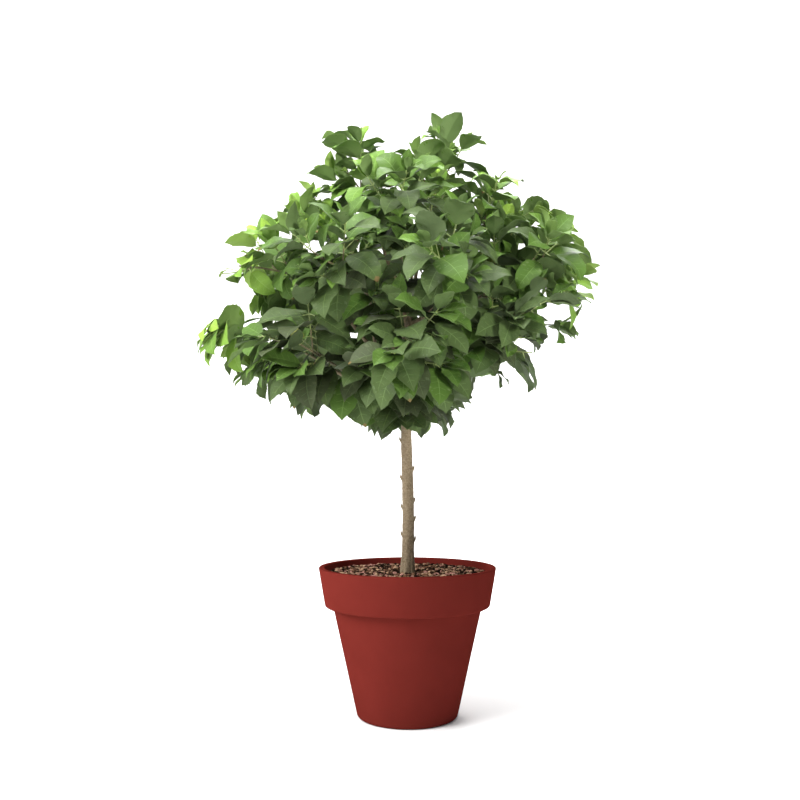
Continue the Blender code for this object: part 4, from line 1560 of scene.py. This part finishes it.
    def add(self, parts: MeshParts, leaves: list[Leaf]) -> None:
        """Adds leaves to a piece as closed blades.

        Args:
            parts: the piece.
            leaves: the leaves.
        """
        rows = self.rows()
        wide, long = len(self.strips), len(rows)
        share, groove, margin = (np.repeat(values, wide) for values in zip(*rows))
        across = np.tile(self.strips, long)
        top, bottom = (self.points(leaves, share, across, groove, margin, lower) for lower in (False, True))
        below = wide * long
        faces, areas, places, rim = [], [], [], []
        for number, (row, after) in enumerate(zip(rows, rows[1:])):
            first = number * wide
            for strip in range(wide - 1):
                low, high = first + strip, first + wide + strip
                vein = row.vein and after.vein and 0 < strip < wide - 2
                area = Area.RIB if strip == (wide - 2) // 2 else Area.VEIN if vein else Area.UPPER
                faces.append((low, low + 1, high + 1, high))
                faces.append((high + below, high + 1 + below, low + 1 + below, low + below))
                areas += [area.value, Area.UNDER.value]
                places += [row.place] * 2
            rim += [(first + wide - 1, first + 2 * wide - 1, row.place), (first + wide, first, row.place)]
        last = (long - 1) * wide
        for strip in range(wide - 1):
            rim += [(strip, strip + 1, 0.0), (last + strip + 1, last + strip, 1.0)]
        for start, end, place in rim:
            faces.append((start, start + below, end + below, end))
            areas.append(Area.UNDER.value)
            places.append(place)
        faces, areas, places = np.array(faces), np.array(areas), np.array(places)
        for leaf, above, under in zip(leaves, top, bottom):
            slots = leaf.tone.value * len(Area) + areas
            if leaf.browned:
                browned = Tone.BROWNED.value * len(Area) + areas
                slots = np.where(places > 1 - leaf.browned, browned, slots)
            parts.add(np.concatenate([above, under]), faces, slots.tolist())

    def guard(self, leaf: Leaf) -> np.ndarray:
        """A coarse copy of a leaf's blade.

        Args:
            leaf: the leaf.

        Returns:
            Its points.
        """
        share = np.repeat(self.guard_along, len(self.guard_across))
        across = np.tile(self.guard_across, len(self.guard_along))
        flat = np.zeros(len(share))
        return self.points([leaf], share, across, flat, flat)[0]

    def guard_faces(self) -> Faces:
        """Faces of the coarse copy, two in a row.

        Returns:
            The faces, each over two steps across.
        """
        wide = len(self.guard_across)
        corners = [row * wide + step for row in range(len(self.guard_along) - 1) for step in (0, 2)]
        return [(corner, corner + 2, corner + 2 + wide, corner + wide) for corner in corners]


@dataclass
class Neighbours:
    """What a new leaf has to keep clear of: limbs and the leaves that are already there."""

    trees: list[BVHTree] = field(default_factory=list)
    middles: list[np.ndarray] = field(default_factory=list)
    radii: list[float] = field(default_factory=list)

    def ball(self, points: np.ndarray) -> tuple[np.ndarray, float]:
        """Middle and radius of a ball round points."""
        middle = points.mean(axis=0)
        return middle, float(np.linalg.norm(points - middle, axis=1).max())

    def add(self, points: np.ndarray, faces: Faces) -> None:
        """Adds something to keep clear of.

        Args:
            points: its points.
            faces: its faces.
        """
        middle, radius = self.ball(points)
        self.trees.append(BVHTree.FromPolygons(points.tolist(), faces))
        self.middles.append(middle)
        self.radii.append(radius)

    def add_limb(self, limb: Limb, sides: int = 5, stretch: int = 6) -> None:
        """Adds a limb, in stretches of a few rings.

        Args:
            limb: the limb.
            sides: number of sides of its guard.
            stretch: rings in a stretch.
        """
        for first in range(0, len(limb.points) - 1, stretch):
            last = min(first + stretch + 1, len(limb.points))
            part = Limb(limb.points[first:last], limb.directions[first:last], limb.radii[first:last])
            self.add(*part.tube(sides))

    def meets(self, points: np.ndarray, faces: Faces) -> bool:
        """Tells whether a mesh meets any of these.

        Args:
            points: its points.
            faces: its faces.

        Returns:
            True if it does.
        """
        middle, radius = self.ball(points)
        tree = BVHTree.FromPolygons(points.tolist(), faces)
        apart = np.linalg.norm(np.array(self.middles) - middle, axis=1) - np.array(self.radii) - radius
        return any(self.trees[index].overlap(tree) for index in np.nonzero(apart < 0)[0])


@dataclass
class Foliage:
    """The twigs, leaf stalks, leaves and buds of all masses."""

    skeleton: Skeleton
    shoots: int = 5
    first_shoot: float = 0.22
    last_shoot: float = 0.90
    shoot_opening: float = 68
    shoot_opening_closes: float = 30
    shoot_opening_spread: float = 6
    shoot_size: float = 1.05
    shoot_size_fall: float = 0.25
    shoot_size_spread: float = 0.12
    shoot_lift_at_root: float = 0.6
    shoot_lift_at_tip: float = 0.70
    shoot_root_share: float = 0.8
    shoot_tip_radius: float = 0.0013
    shoot_rings: int = 9
    # Turn about the stem, in radians, and length of each try at a shoot.
    shoot_tries: tuple[Span, ...] = (
        (0.0, 1.0), (0.6, 0.9), (-0.6, 0.9), (1.2, 0.75), (-1.2, 0.75), (0.0, 0.6),
    )
    twiglet_shares: tuple[float, ...] = (0.45,)
    twiglet_length: float = 0.046
    twiglet_length_spread: float = 0.2
    twiglet_opening: float = 52
    twiglet_opening_spread: float = 8
    twiglet_root_share: float = 0.75
    twiglet_tip_radius: float = 0.0010
    twiglet_rings: int = 6
    # Turn of each try at a twiglet, in golden angles.
    twiglet_tries: tuple[float, ...] = (0, 0.4, 0.8)
    twiglet_leaf_share: float = 0.80
    twiglet_pairs: int = 2
    # Sides of the tubes of stems, shoots and twiglets.
    twig_sides: tuple[int, int, int] = (8, 7, 6)
    twig_guard_stretch: int = 9
    # Distance from the tip, size, opening from the shoot in degrees, and age of each pair of leaves.
    pair_backs: tuple[float, ...] = (0.000, 0.006, 0.019, 0.040, 0.065, 0.092)
    pair_sizes: tuple[float, ...] = (0.34, 0.60, 0.88, 1.00, 1.04, 1.00)
    pair_openings: tuple[float, ...] = (14, 34, 50, 60, 70, 80)
    pair_ages: tuple[float, ...] = (0.0, 0.2, 0.45, 0.7, 0.9, 1.0)
    opening_spread: float = 8
    turn_spread: float = 0.22
    hang_spread: float = 0.3
    # The least share of a twig's length at which leaves stand, and how far the second of a pair is behind.
    first_pair: float = 0.12
    pair_offset: float = 0.01
    # How far an old mass's leaves are aged and full-grown.
    settling: float = 0.55
    # Share of the twig's radius at which a stalk starts.
    root_depth: float = 0.4
    leaf_length: float = 0.100
    length_spread: float = 0.12
    # How a leaf's upper side is turned along its twig, and up: when young, and what age adds.
    facing_along: Span = (1.1, -0.8)
    facing_up: Span = (0.35, 0.65)
    # How much of a blade is brown at its tip.
    browned_tips: Span = (0.06, 0.17)
    stalk_share: float = 0.13
    stalk_radius: float = 0.0011
    # Radius at both ends of a stalk, and how far it goes along and under the blade, in radii.
    stalk_ends: Span = (1.25, 0.8)
    stalk_overlap: Span = (2, 0.6)
    stalk_sides: int = 5
    stalk_rings: int = 4
    # Turn about the vertical, dip and size of each try at a leaf.
    leaf_tries: tuple[tuple[float, float, float], ...] = (
        (0.0, 0.0, 1.0), (0.25, 0.0, 1.0), (-0.25, 0.0, 1.0), (0.0, 0.3, 0.97), (0.0, -0.3, 0.97),
        (0.5, 0.15, 0.93), (-0.5, 0.15, 0.93), (0.3, 0.5, 0.9), (-0.3, 0.5, 0.9), (0.75, 0.0, 0.8),
        (-0.75, 0.0, 0.8), (0.0, -0.5, 0.8), (0.0, 0.9, 0.85), (0.6, 0.8, 0.8), (-0.6, 0.8, 0.8),
        (0.0, 0.3, 0.65), (1.1, 0.2, 0.7), (-1.1, 0.2, 0.7),
    )
    old_from: float = 0.5
    browned_share: float = 0.08
    yellowed_share: float = 0.005
    bud_masses: tuple[str, ...] = ("foliage_mid_right", "foliage_mid_back_left", "foliage_upper_back")
    buds_in_cluster: int = 13
    bud_size: float = 0.0042
    bud_spread: float = 0.2
    bud_stalk: float = 0.011
    bud_stalk_radii: Span = (0.0006, 0.0005)
    bud_opening: float = 75
    bud_guard: float = 0.011
    bud_guard_at: float = 0.6
    # Start above the soil and length of the stretch of trunk that leaves are kept clear of.
    trunk_guard: Span = (0.3, 0.19)
    trunk_guard_rings: int = 21
    sharp_angle: float = 60
    blade_sharp_angle: float = 55
    bark_twig: Finish = Finish(
        "twig_bark", colour=(0.165, 0.140, 0.070), second=(0.095, 0.085, 0.040), patches=150,
        smoothest=0.55, roughest=0.75, grain=600, relief=0.0004,
    )
    green_twig: Finish = Finish("twig_green", (0.170, 0.215, 0.065), smoothest=0.45, roughest=0.6, grain=500)
    stalk: Finish = Finish("leaf_stalk", (0.230, 0.300, 0.095), smoothest=0.42, roughest=0.55, grain=500)
    bud: Finish = Finish(
        "bud", colour=(0.190, 0.105, 0.058), second=(0.105, 0.048, 0.032), patches=260, smoothest=0.55,
        roughest=0.70, grain=500, relief=0.0003,
    )
    dealing: Dealing = Dealing()
    blade: BladeShape = BladeShape()
    # A slimmer blade stands in for a leaf where it is kept clear of others.
    slim_blade: BladeShape = BladeShape(stoutness=1.0, tip_draw=0.70, tip_power=7)
    outline: CrownOutline = CrownOutline()
    neighbours: Neighbours = field(default_factory=Neighbours)
    leaves: dict[str, list[Leaf]] = field(default_factory=dict)
    twigs: MeshParts = field(default_factory=MeshParts)
    stalks: MeshParts = field(default_factory=MeshParts)
    buds: MeshParts = field(default_factory=MeshParts)

    def twig_direction(self, mass: Mass, along: Vector, spin: float, opening: float) -> Vector:
        """The direction in which a twig leaves a limb, with the lift of its mass's habit."""
        direction, _ = lean(along, spin, opening)
        return (direction + UP * mass.habit.lift * self.shoot_lift_at_root).normalized()

    def grow_shoots(self, mass: Mass, space: Space) -> None:
        """Grows the shoots that stay in a mass's space, by the golden angle round its stem.

        Args:
            mass: the mass.
            space: the space of every mass.
        """
        draw = mass.draw
        phase = draw.uniform(0, math.tau)
        for index in range(self.shoots):
            share = self.first_shoot + (self.last_shoot - self.first_shoot) * index / (self.shoots - 1)
            base, along, thickness = mass.stem.at(share)
            spread = draw.uniform(-self.shoot_opening_spread, self.shoot_opening_spread)
            opening = math.radians(self.shoot_opening - self.shoot_opening_closes * share + spread)
            size = varied(self.shoot_size - self.shoot_size_fall * share, self.shoot_size_spread, draw)
            ends = (thickness * self.shoot_root_share, self.shoot_tip_radius)
            for turn, shrink in self.shoot_tries:
                direction = self.twig_direction(mass, along, phase + index * GOLDEN_ANGLE + turn, opening)
                length = mass.habit.shoot_length * size * shrink
                end = base + (direction + UP * mass.habit.lift * self.shoot_lift_at_tip) * length
                shoot = limb_curve(base, direction, end, ends, self.shoot_rings)
                if space.holds(mass.name, [shoot.at(0.5)[0], shoot.points[-1]]):
                    mass.shoots.append(shoot)
                    break

    def grow_twiglets(self, mass: Mass, space: Space) -> None:
        """Grows the finer twigs on the shoots, by the same rule.

        Args:
            mass: the mass.
            space: the space of every mass.
        """
        draw = mass.draw
        for shoot in mass.shoots:
            turn = draw.uniform(0, math.tau)
            for index, share in enumerate(self.twiglet_shares):
                base, along, thickness = shoot.at(share)
                spread = draw.uniform(-self.twiglet_opening_spread, self.twiglet_opening_spread)
                opening = math.radians(self.twiglet_opening + spread)
                ends = (thickness * self.twiglet_root_share, self.twiglet_tip_radius)
                for more in self.twiglet_tries:
                    spin = turn + (index + more) * GOLDEN_ANGLE
                    direction = self.twig_direction(mass, along, spin, opening)
                    length = varied(self.twiglet_length, self.twiglet_length_spread, draw)
                    end = base + direction * length
                    if space.holds(mass.name, [end]):
                        mass.twiglets.append(limb_curve(base, direction, end, ends, self.twiglet_rings))
                        break

    def new_leaf(self, seat: LeafSeat, aim: Vector, shrink: float) -> Leaf:
        """A leaf on a seat, bent as its age and its mass's habit have it.

        Args:
            seat: the seat.
            aim: where the leaf points.
            shrink: its length as a share of the seat's.

        Returns:
            The leaf.
        """
        habit, age = seat.mass.habit, seat.age
        base = seat.root + (aim + seat.direction).normalized() * seat.length * self.stalk_share
        outward = Vector((base.x, base.y, 0)).normalized() * habit.facing * age
        (along_young, along_more), (up_young, up_more) = self.facing_along, self.facing_up
        upper = seat.along * (along_young + along_more * age) + UP * (up_young + up_more * age) + outward
        upper = (upper - aim * upper.dot(aim)).normalized()
        traits = {name: trait.pick(age, seat.mass.draw) for name, trait in TRAITS.items()}
        traits["rise"] *= habit.arch
        traits["arch"] *= habit.arch
        tone = self.dealing.tone(seat.mass, age, base)
        return Leaf(base, aim, upper, seat.length * shrink, tone, **traits)

    def spoil(self, leaf: Leaf, seat: LeafSeat) -> None:
        """Browns the tip of a few old leaves, and yellows fewer.

        Args:
            leaf: the leaf.
            seat: its seat.
        """
        chance = seat.mass.draw.random()
        if seat.age > self.old_from and chance < self.browned_share:
            leaf.browned = seat.mass.draw.uniform(*self.browned_tips)
        elif seat.age > self.old_from and chance < self.browned_share + self.yellowed_share:
            leaf.tone = Tone.YELLOWED

    def add_stalk(self, root: Vector, leaf: Leaf) -> None:
        """Adds the stalk from a twig to a blade.

        Args:
            root: where the stalk starts.
            leaf: the leaf.
        """
        along, under = self.stalk_overlap
        end = leaf.base + leaf.direction * self.stalk_radius * along - leaf.upper * self.stalk_radius * under
        radius = self.stalk_radius * (1 + leaf.length / self.leaf_length) / 2
        first, last = self.stalk_ends
        ends = (radius * first, radius * last)
        limb = limb_curve(root, (leaf.base - root).normalized(), end, ends, self.stalk_rings)
        self.stalks.add(*limb.tube(self.stalk_sides))

    def add_buds(self, mass: Mass) -> None:
        """Puts a cluster of small buds on the tip of a mass's last shoot.

        Args:
            mass: the mass.
        """
        draw = random.Random(f"{mass.name} buds")
        tip, along, _ = mass.shoots[-1].at(1.0)
        shape, faces = ball(2, self.bud_size / 2)
        for index in range(self.buds_in_cluster):
            opening = math.radians(self.bud_opening) * math.sqrt((index + 0.5) / self.buds_in_cluster)
            direction, _ = lean(along, index * GOLDEN_ANGLE, opening)
            end = tip + direction * varied(self.bud_stalk, self.bud_spread, draw)
            stalk = limb_curve(tip, direction, end, self.bud_stalk_radii, rings=3)
            self.stalks.add(*stalk.tube(sides=4))
            self.buds.add(shape * varied(1.0, self.bud_spread, draw) + np.array(end), faces)
        shape, faces = ball(1, self.bud_guard)
        middle = tip + along * self.bud_stalk * self.bud_guard_at
        self.neighbours.add(shape + np.array(middle), faces.tolist())

    def clothe(self, mass: Mass, limb: Limb, pairs: int, scale: float) -> None:
        """Puts leaves on the outer part of a twig, in opposite pairs that are crosswise to the next.

        Args:
            mass: the mass.
            limb: the twig.
            pairs: how many pairs it may hold.
            scale: size of its leaves.
        """
        draw = mass.draw
        whole = limb.distances()[-1]
        turn = draw.uniform(0, math.tau)
        for pair in range(min(pairs, len(self.pair_backs))):
            share = 1 - self.pair_backs[pair] / whole
            if share < self.first_pair:
                break
            settled = self.settling * (1 - mass.habit.youth)
            age = self.pair_ages[pair] + (1 - self.pair_ages[pair]) * settled
            size = self.pair_sizes[pair] + (1 - self.pair_sizes[pair]) * settled
            for half in range(2):
                point, along, radius = limb.at(max(0, share - self.pair_offset * half))
                spin = turn + pair * math.pi / 2 + half * math.pi + draw.uniform(-1, 1) * self.turn_spread
                opening = math.radians(self.pair_openings[pair] + draw.uniform(-1, 1) * self.opening_spread)
                direction, radial = lean(along, spin, opening)
                direction -= UP * varied(mass.habit.hang, self.hang_spread, draw) * age
                length = varied(self.leaf_length * scale * size, self.length_spread, draw)
                root = point + radial * radius * self.root_depth
                self.try_leaf(LeafSeat(mass, root, direction.normalized(), along, age, length))

    def try_leaf(self, seat: LeafSeat) -> None:
        """Adds a leaf, turned or made smaller until it is free, or leaves it out.

        Args:
            seat: its seat.
        """
        faces = self.slim_blade.guard_faces()
        for turn, dip, shrink in self.leaf_tries:
            aim = (Quaternion(UP, turn) @ seat.direction - UP * dip).normalized()
            leaf = self.new_leaf(seat, aim, shrink)
            guard = self.slim_blade.guard(leaf)
            if self.outline.holds(guard) and not self.neighbours.meets(guard, faces):
                self.spoil(leaf, seat)
                self.neighbours.add(guard, faces)
                self.leaves.setdefault(seat.mass.name, []).append(leaf)
                self.add_stalk(seat.root, leaf)
                return

    def grow(self) -> None:
        """Grows the twigs and leaves of every mass."""
        skeleton = self.skeleton
        start, long = self.trunk_guard
        steps = self.trunk_guard_rings - 1
        heights = [skeleton.soil_top + start + long * step / steps for step in range(self.trunk_guard_rings)]
        limbs = [skeleton.trunk(heights), *skeleton.boughs.values(), *(mass.stem for mass in skeleton.masses)]
        for limb in limbs:
            self.neighbours.add_limb(limb)
        stem_sides, shoot_sides, twiglet_sides = self.twig_sides
        space = Space(skeleton.masses)
        for mass in skeleton.masses:
            self.grow_shoots(mass, space)
            self.grow_twiglets(mass, space)
            for limb in mass.shoots + mass.twiglets:
                self.neighbours.add_limb(limb, stretch=self.twig_guard_stretch)
            if mass.name in self.bud_masses:
                self.add_buds(mass)
            self.twigs.add(*mass.stem.tube(stem_sides))
            for limb in mass.shoots:
                points, faces = limb.tube(shoot_sides)
                half = len(faces) // 2
                self.twigs.add(points, faces, [0] * half + [1] * (len(faces) - half))
            for limb in mass.twiglets:
                self.twigs.add(*limb.tube(twiglet_sides), 1)
        for mass in skeleton.masses:
            scale = mass.habit.leaf_scale
            for limb in mass.shoots + [mass.stem]:
                self.clothe(mass, limb, mass.habit.pairs, scale)
            for limb in mass.twiglets:
                self.clothe(mass, limb, self.twiglet_pairs, scale * self.twiglet_leaf_share)

    def build(self) -> None:
        """Makes the pieces: twigs, stalks, buds, and the leaves of each part of the crown."""
        nodes = [mass.name for mass in self.skeleton.masses]
        for parts, name, finishes, slot, replaced in (
            (self.twigs, "twigs", (self.bark_twig, self.green_twig), "bark", nodes),
            (self.stalks, "leaf_stalks", (self.stalk,), "leaf", nodes),
            (self.buds, "buds", (self.bud,), "leaf", self.bud_masses),
        ):
            materials = [finish.material() for finish in finishes]
            dress(parts.piece(name, materials, self.sharp_angle), list(replaced))
        materials = [made for tone in Tone for made in LEAF_FINISHES[tone].materials(tone)]
        parts = {}
        for part in ("top", "upper"):
            parts[f"leaves_{part}"] = [node for node in nodes if f"_{part}_" in node]
        for tier in (MID, LOW):
            parts[f"leaves_{tier.name}_front"] = [f"foliage_{tier.name}_{side}" for side in SIDES[:4]]
            parts[f"leaves_{tier.name}_back"] = [f"foliage_{tier.name}_{side}" for side in SIDES[4:]]
        parts["leaves_low_front"].append("foliage_skirt_front")
        parts["leaves_low_back"].append("foliage_skirt_back")
        for name, masses in parts.items():
            gathered = MeshParts()
            leaves = [leaf for mass in masses for leaf in self.leaves.get(mass, [])]
            self.blade.add(gathered, leaves)
            log.info("%s has %d leaves", name, len(leaves))
            dress(gathered.piece(name, materials, self.blade_sharp_angle), masses)


# Floor, lights and camera


@dataclass(frozen=True)
class Lamp:
    """A soft round lamp: its place, what it is turned to, its power in watts and its beam in degrees."""

    name: str
    place: Place
    target: Place
    size: float
    power: float
    spread: float = 180
    # Whether surfaces shine with it.
    glossy: bool = True

    def build(self) -> None:
        """Sets up the lamp."""
        light = bpy.data.lights.new(self.name, "AREA")
        light.spread = math.radians(self.spread)
        light.shape = "DISK"
        light.size = self.size
        light.energy = self.power
        made = bpy.data.objects.new(self.name, light)
        made.visible_glossy = self.glossy
        made.location = self.place
        made.rotation_euler = (Vector(self.target) - made.location).to_track_quat("-Z", "Y").to_euler()
        bpy.context.scene.collection.objects.link(made)


@dataclass
class Studio:
    """The pale floor and backdrop, the soft lights and the camera."""

    camera_rise: float = 4.517
    lens: float = 38.25
    sensor: float = 36
    floor_finish: Finish = Finish(
        "pale_floor", (0.80, 0.80, 0.80), smoothest=0.85, roughest=0.95, relief=0, specular=0.1
    )
    floor_half: float = 6.0
    backdrop_at: float = 4.0
    backdrop_round: float = 2.5
    backdrop_height: float = 7.0
    backdrop_steps: int = 24
    # Strength of the sky on the left and on the right.
    sky: Span = (1.05, 0.12)
    lamps: tuple[Lamp, ...] = (
        Lamp("key", (-2.7, -1.6, 2.5), (0, 0, 0.7), size=2.2, power=205),
        Lamp("top_light", (-0.5, -0.9, 3.7), (0, 0, 0.8), size=2.0, power=165),
        Lamp("back_light", (0.5, 2.3, 3.3), (0.3, -0.1, 0.2), size=2.2, power=100),
        Lamp("backdrop_light", (0, 1.2, 4.5), (0, 3.6, 1.2), size=3.0, power=160),
        Lamp("crown_light", (1.6, -2.9, 1.3), (0.05, 0, 1.05), size=1.0, power=3.0, spread=9, glossy=False),
    )

    def build_floor(self) -> None:
        """Makes a floor that curves up into a backdrop."""
        profile = [(-self.floor_half, 0.0), (self.backdrop_at - self.backdrop_round, 0.0)]
        for step in range(1, self.backdrop_steps + 1):
            angle = math.pi / 2 * step / self.backdrop_steps
            away = self.backdrop_at - self.backdrop_round + self.backdrop_round * math.sin(angle)
            profile.append((away, self.backdrop_round * (1 - math.cos(angle))))
        profile.append((self.backdrop_at, self.backdrop_height))
        points = [(x, y, z) for y, z in profile for x in (-self.floor_half, self.floor_half)]
        faces = [(low, low + 1, low + 3, low + 2) for low in range(0, len(points) - 2, 2)]
        parts = MeshParts()
        parts.add(np.array(points), faces)
        parts.piece("floor", [self.floor_finish.material()], smooth=60)

    def build(self) -> None:
        """Sets up the studio."""
        self.build_floor()
        world = bpy.data.worlds.new("studio")
        world.use_nodes = True
        nodes, links = world.node_tree.nodes, world.node_tree.links
        place, split, strength = (
            nodes.new(f"ShaderNode{kind}") for kind in ("TexCoord", "SeparateXYZ", "MapRange")
        )
        for socket, value in zip(("From Min", "From Max", "To Min", "To Max"), (-1, 1, *self.sky)):
            strength.inputs[socket].default_value = value
        links.new(place.outputs["Generated"], split.inputs["Vector"])
        links.new(split.outputs["X"], strength.inputs["Value"])
        links.new(strength.outputs["Result"], nodes["Background"].inputs["Strength"])
        nodes["Background"].inputs["Color"].default_value = (1, 1, 1, 1)
        scene = bpy.context.scene
        scene.world = world
        scene.view_settings.view_transform = "Standard"
        for lamp in self.lamps:
            lamp.build()
        camera = bpy.data.objects.new("camera", bpy.data.cameras.new("camera"))
        camera.location = CAMERA_PLACE
        camera.rotation_euler = (math.radians(90 + self.camera_rise), 0, 0)
        camera.data.lens = self.lens
        camera.data.sensor_width = self.sensor
        scene.collection.objects.link(camera)
        scene.camera = camera


def main() -> None:
    """Builds the plant, its pot and the studio."""
    logging.basicConfig(level=logging.INFO, format="%(message)s")
    pot = Flowerpot()
    pot.build()
    soil = PottingSoil(pot)
    soil.build_bed()
    soil.build_chips()
    skeleton = Skeleton()
    skeleton.grow()
    bark = Bark(skeleton)
    bark.build_trunk()
    bark.build_boughs()
    foliage = Foliage(skeleton)
    foliage.grow()
    foliage.build()
    Studio().build()


if __name__ == "__main__":
    main()
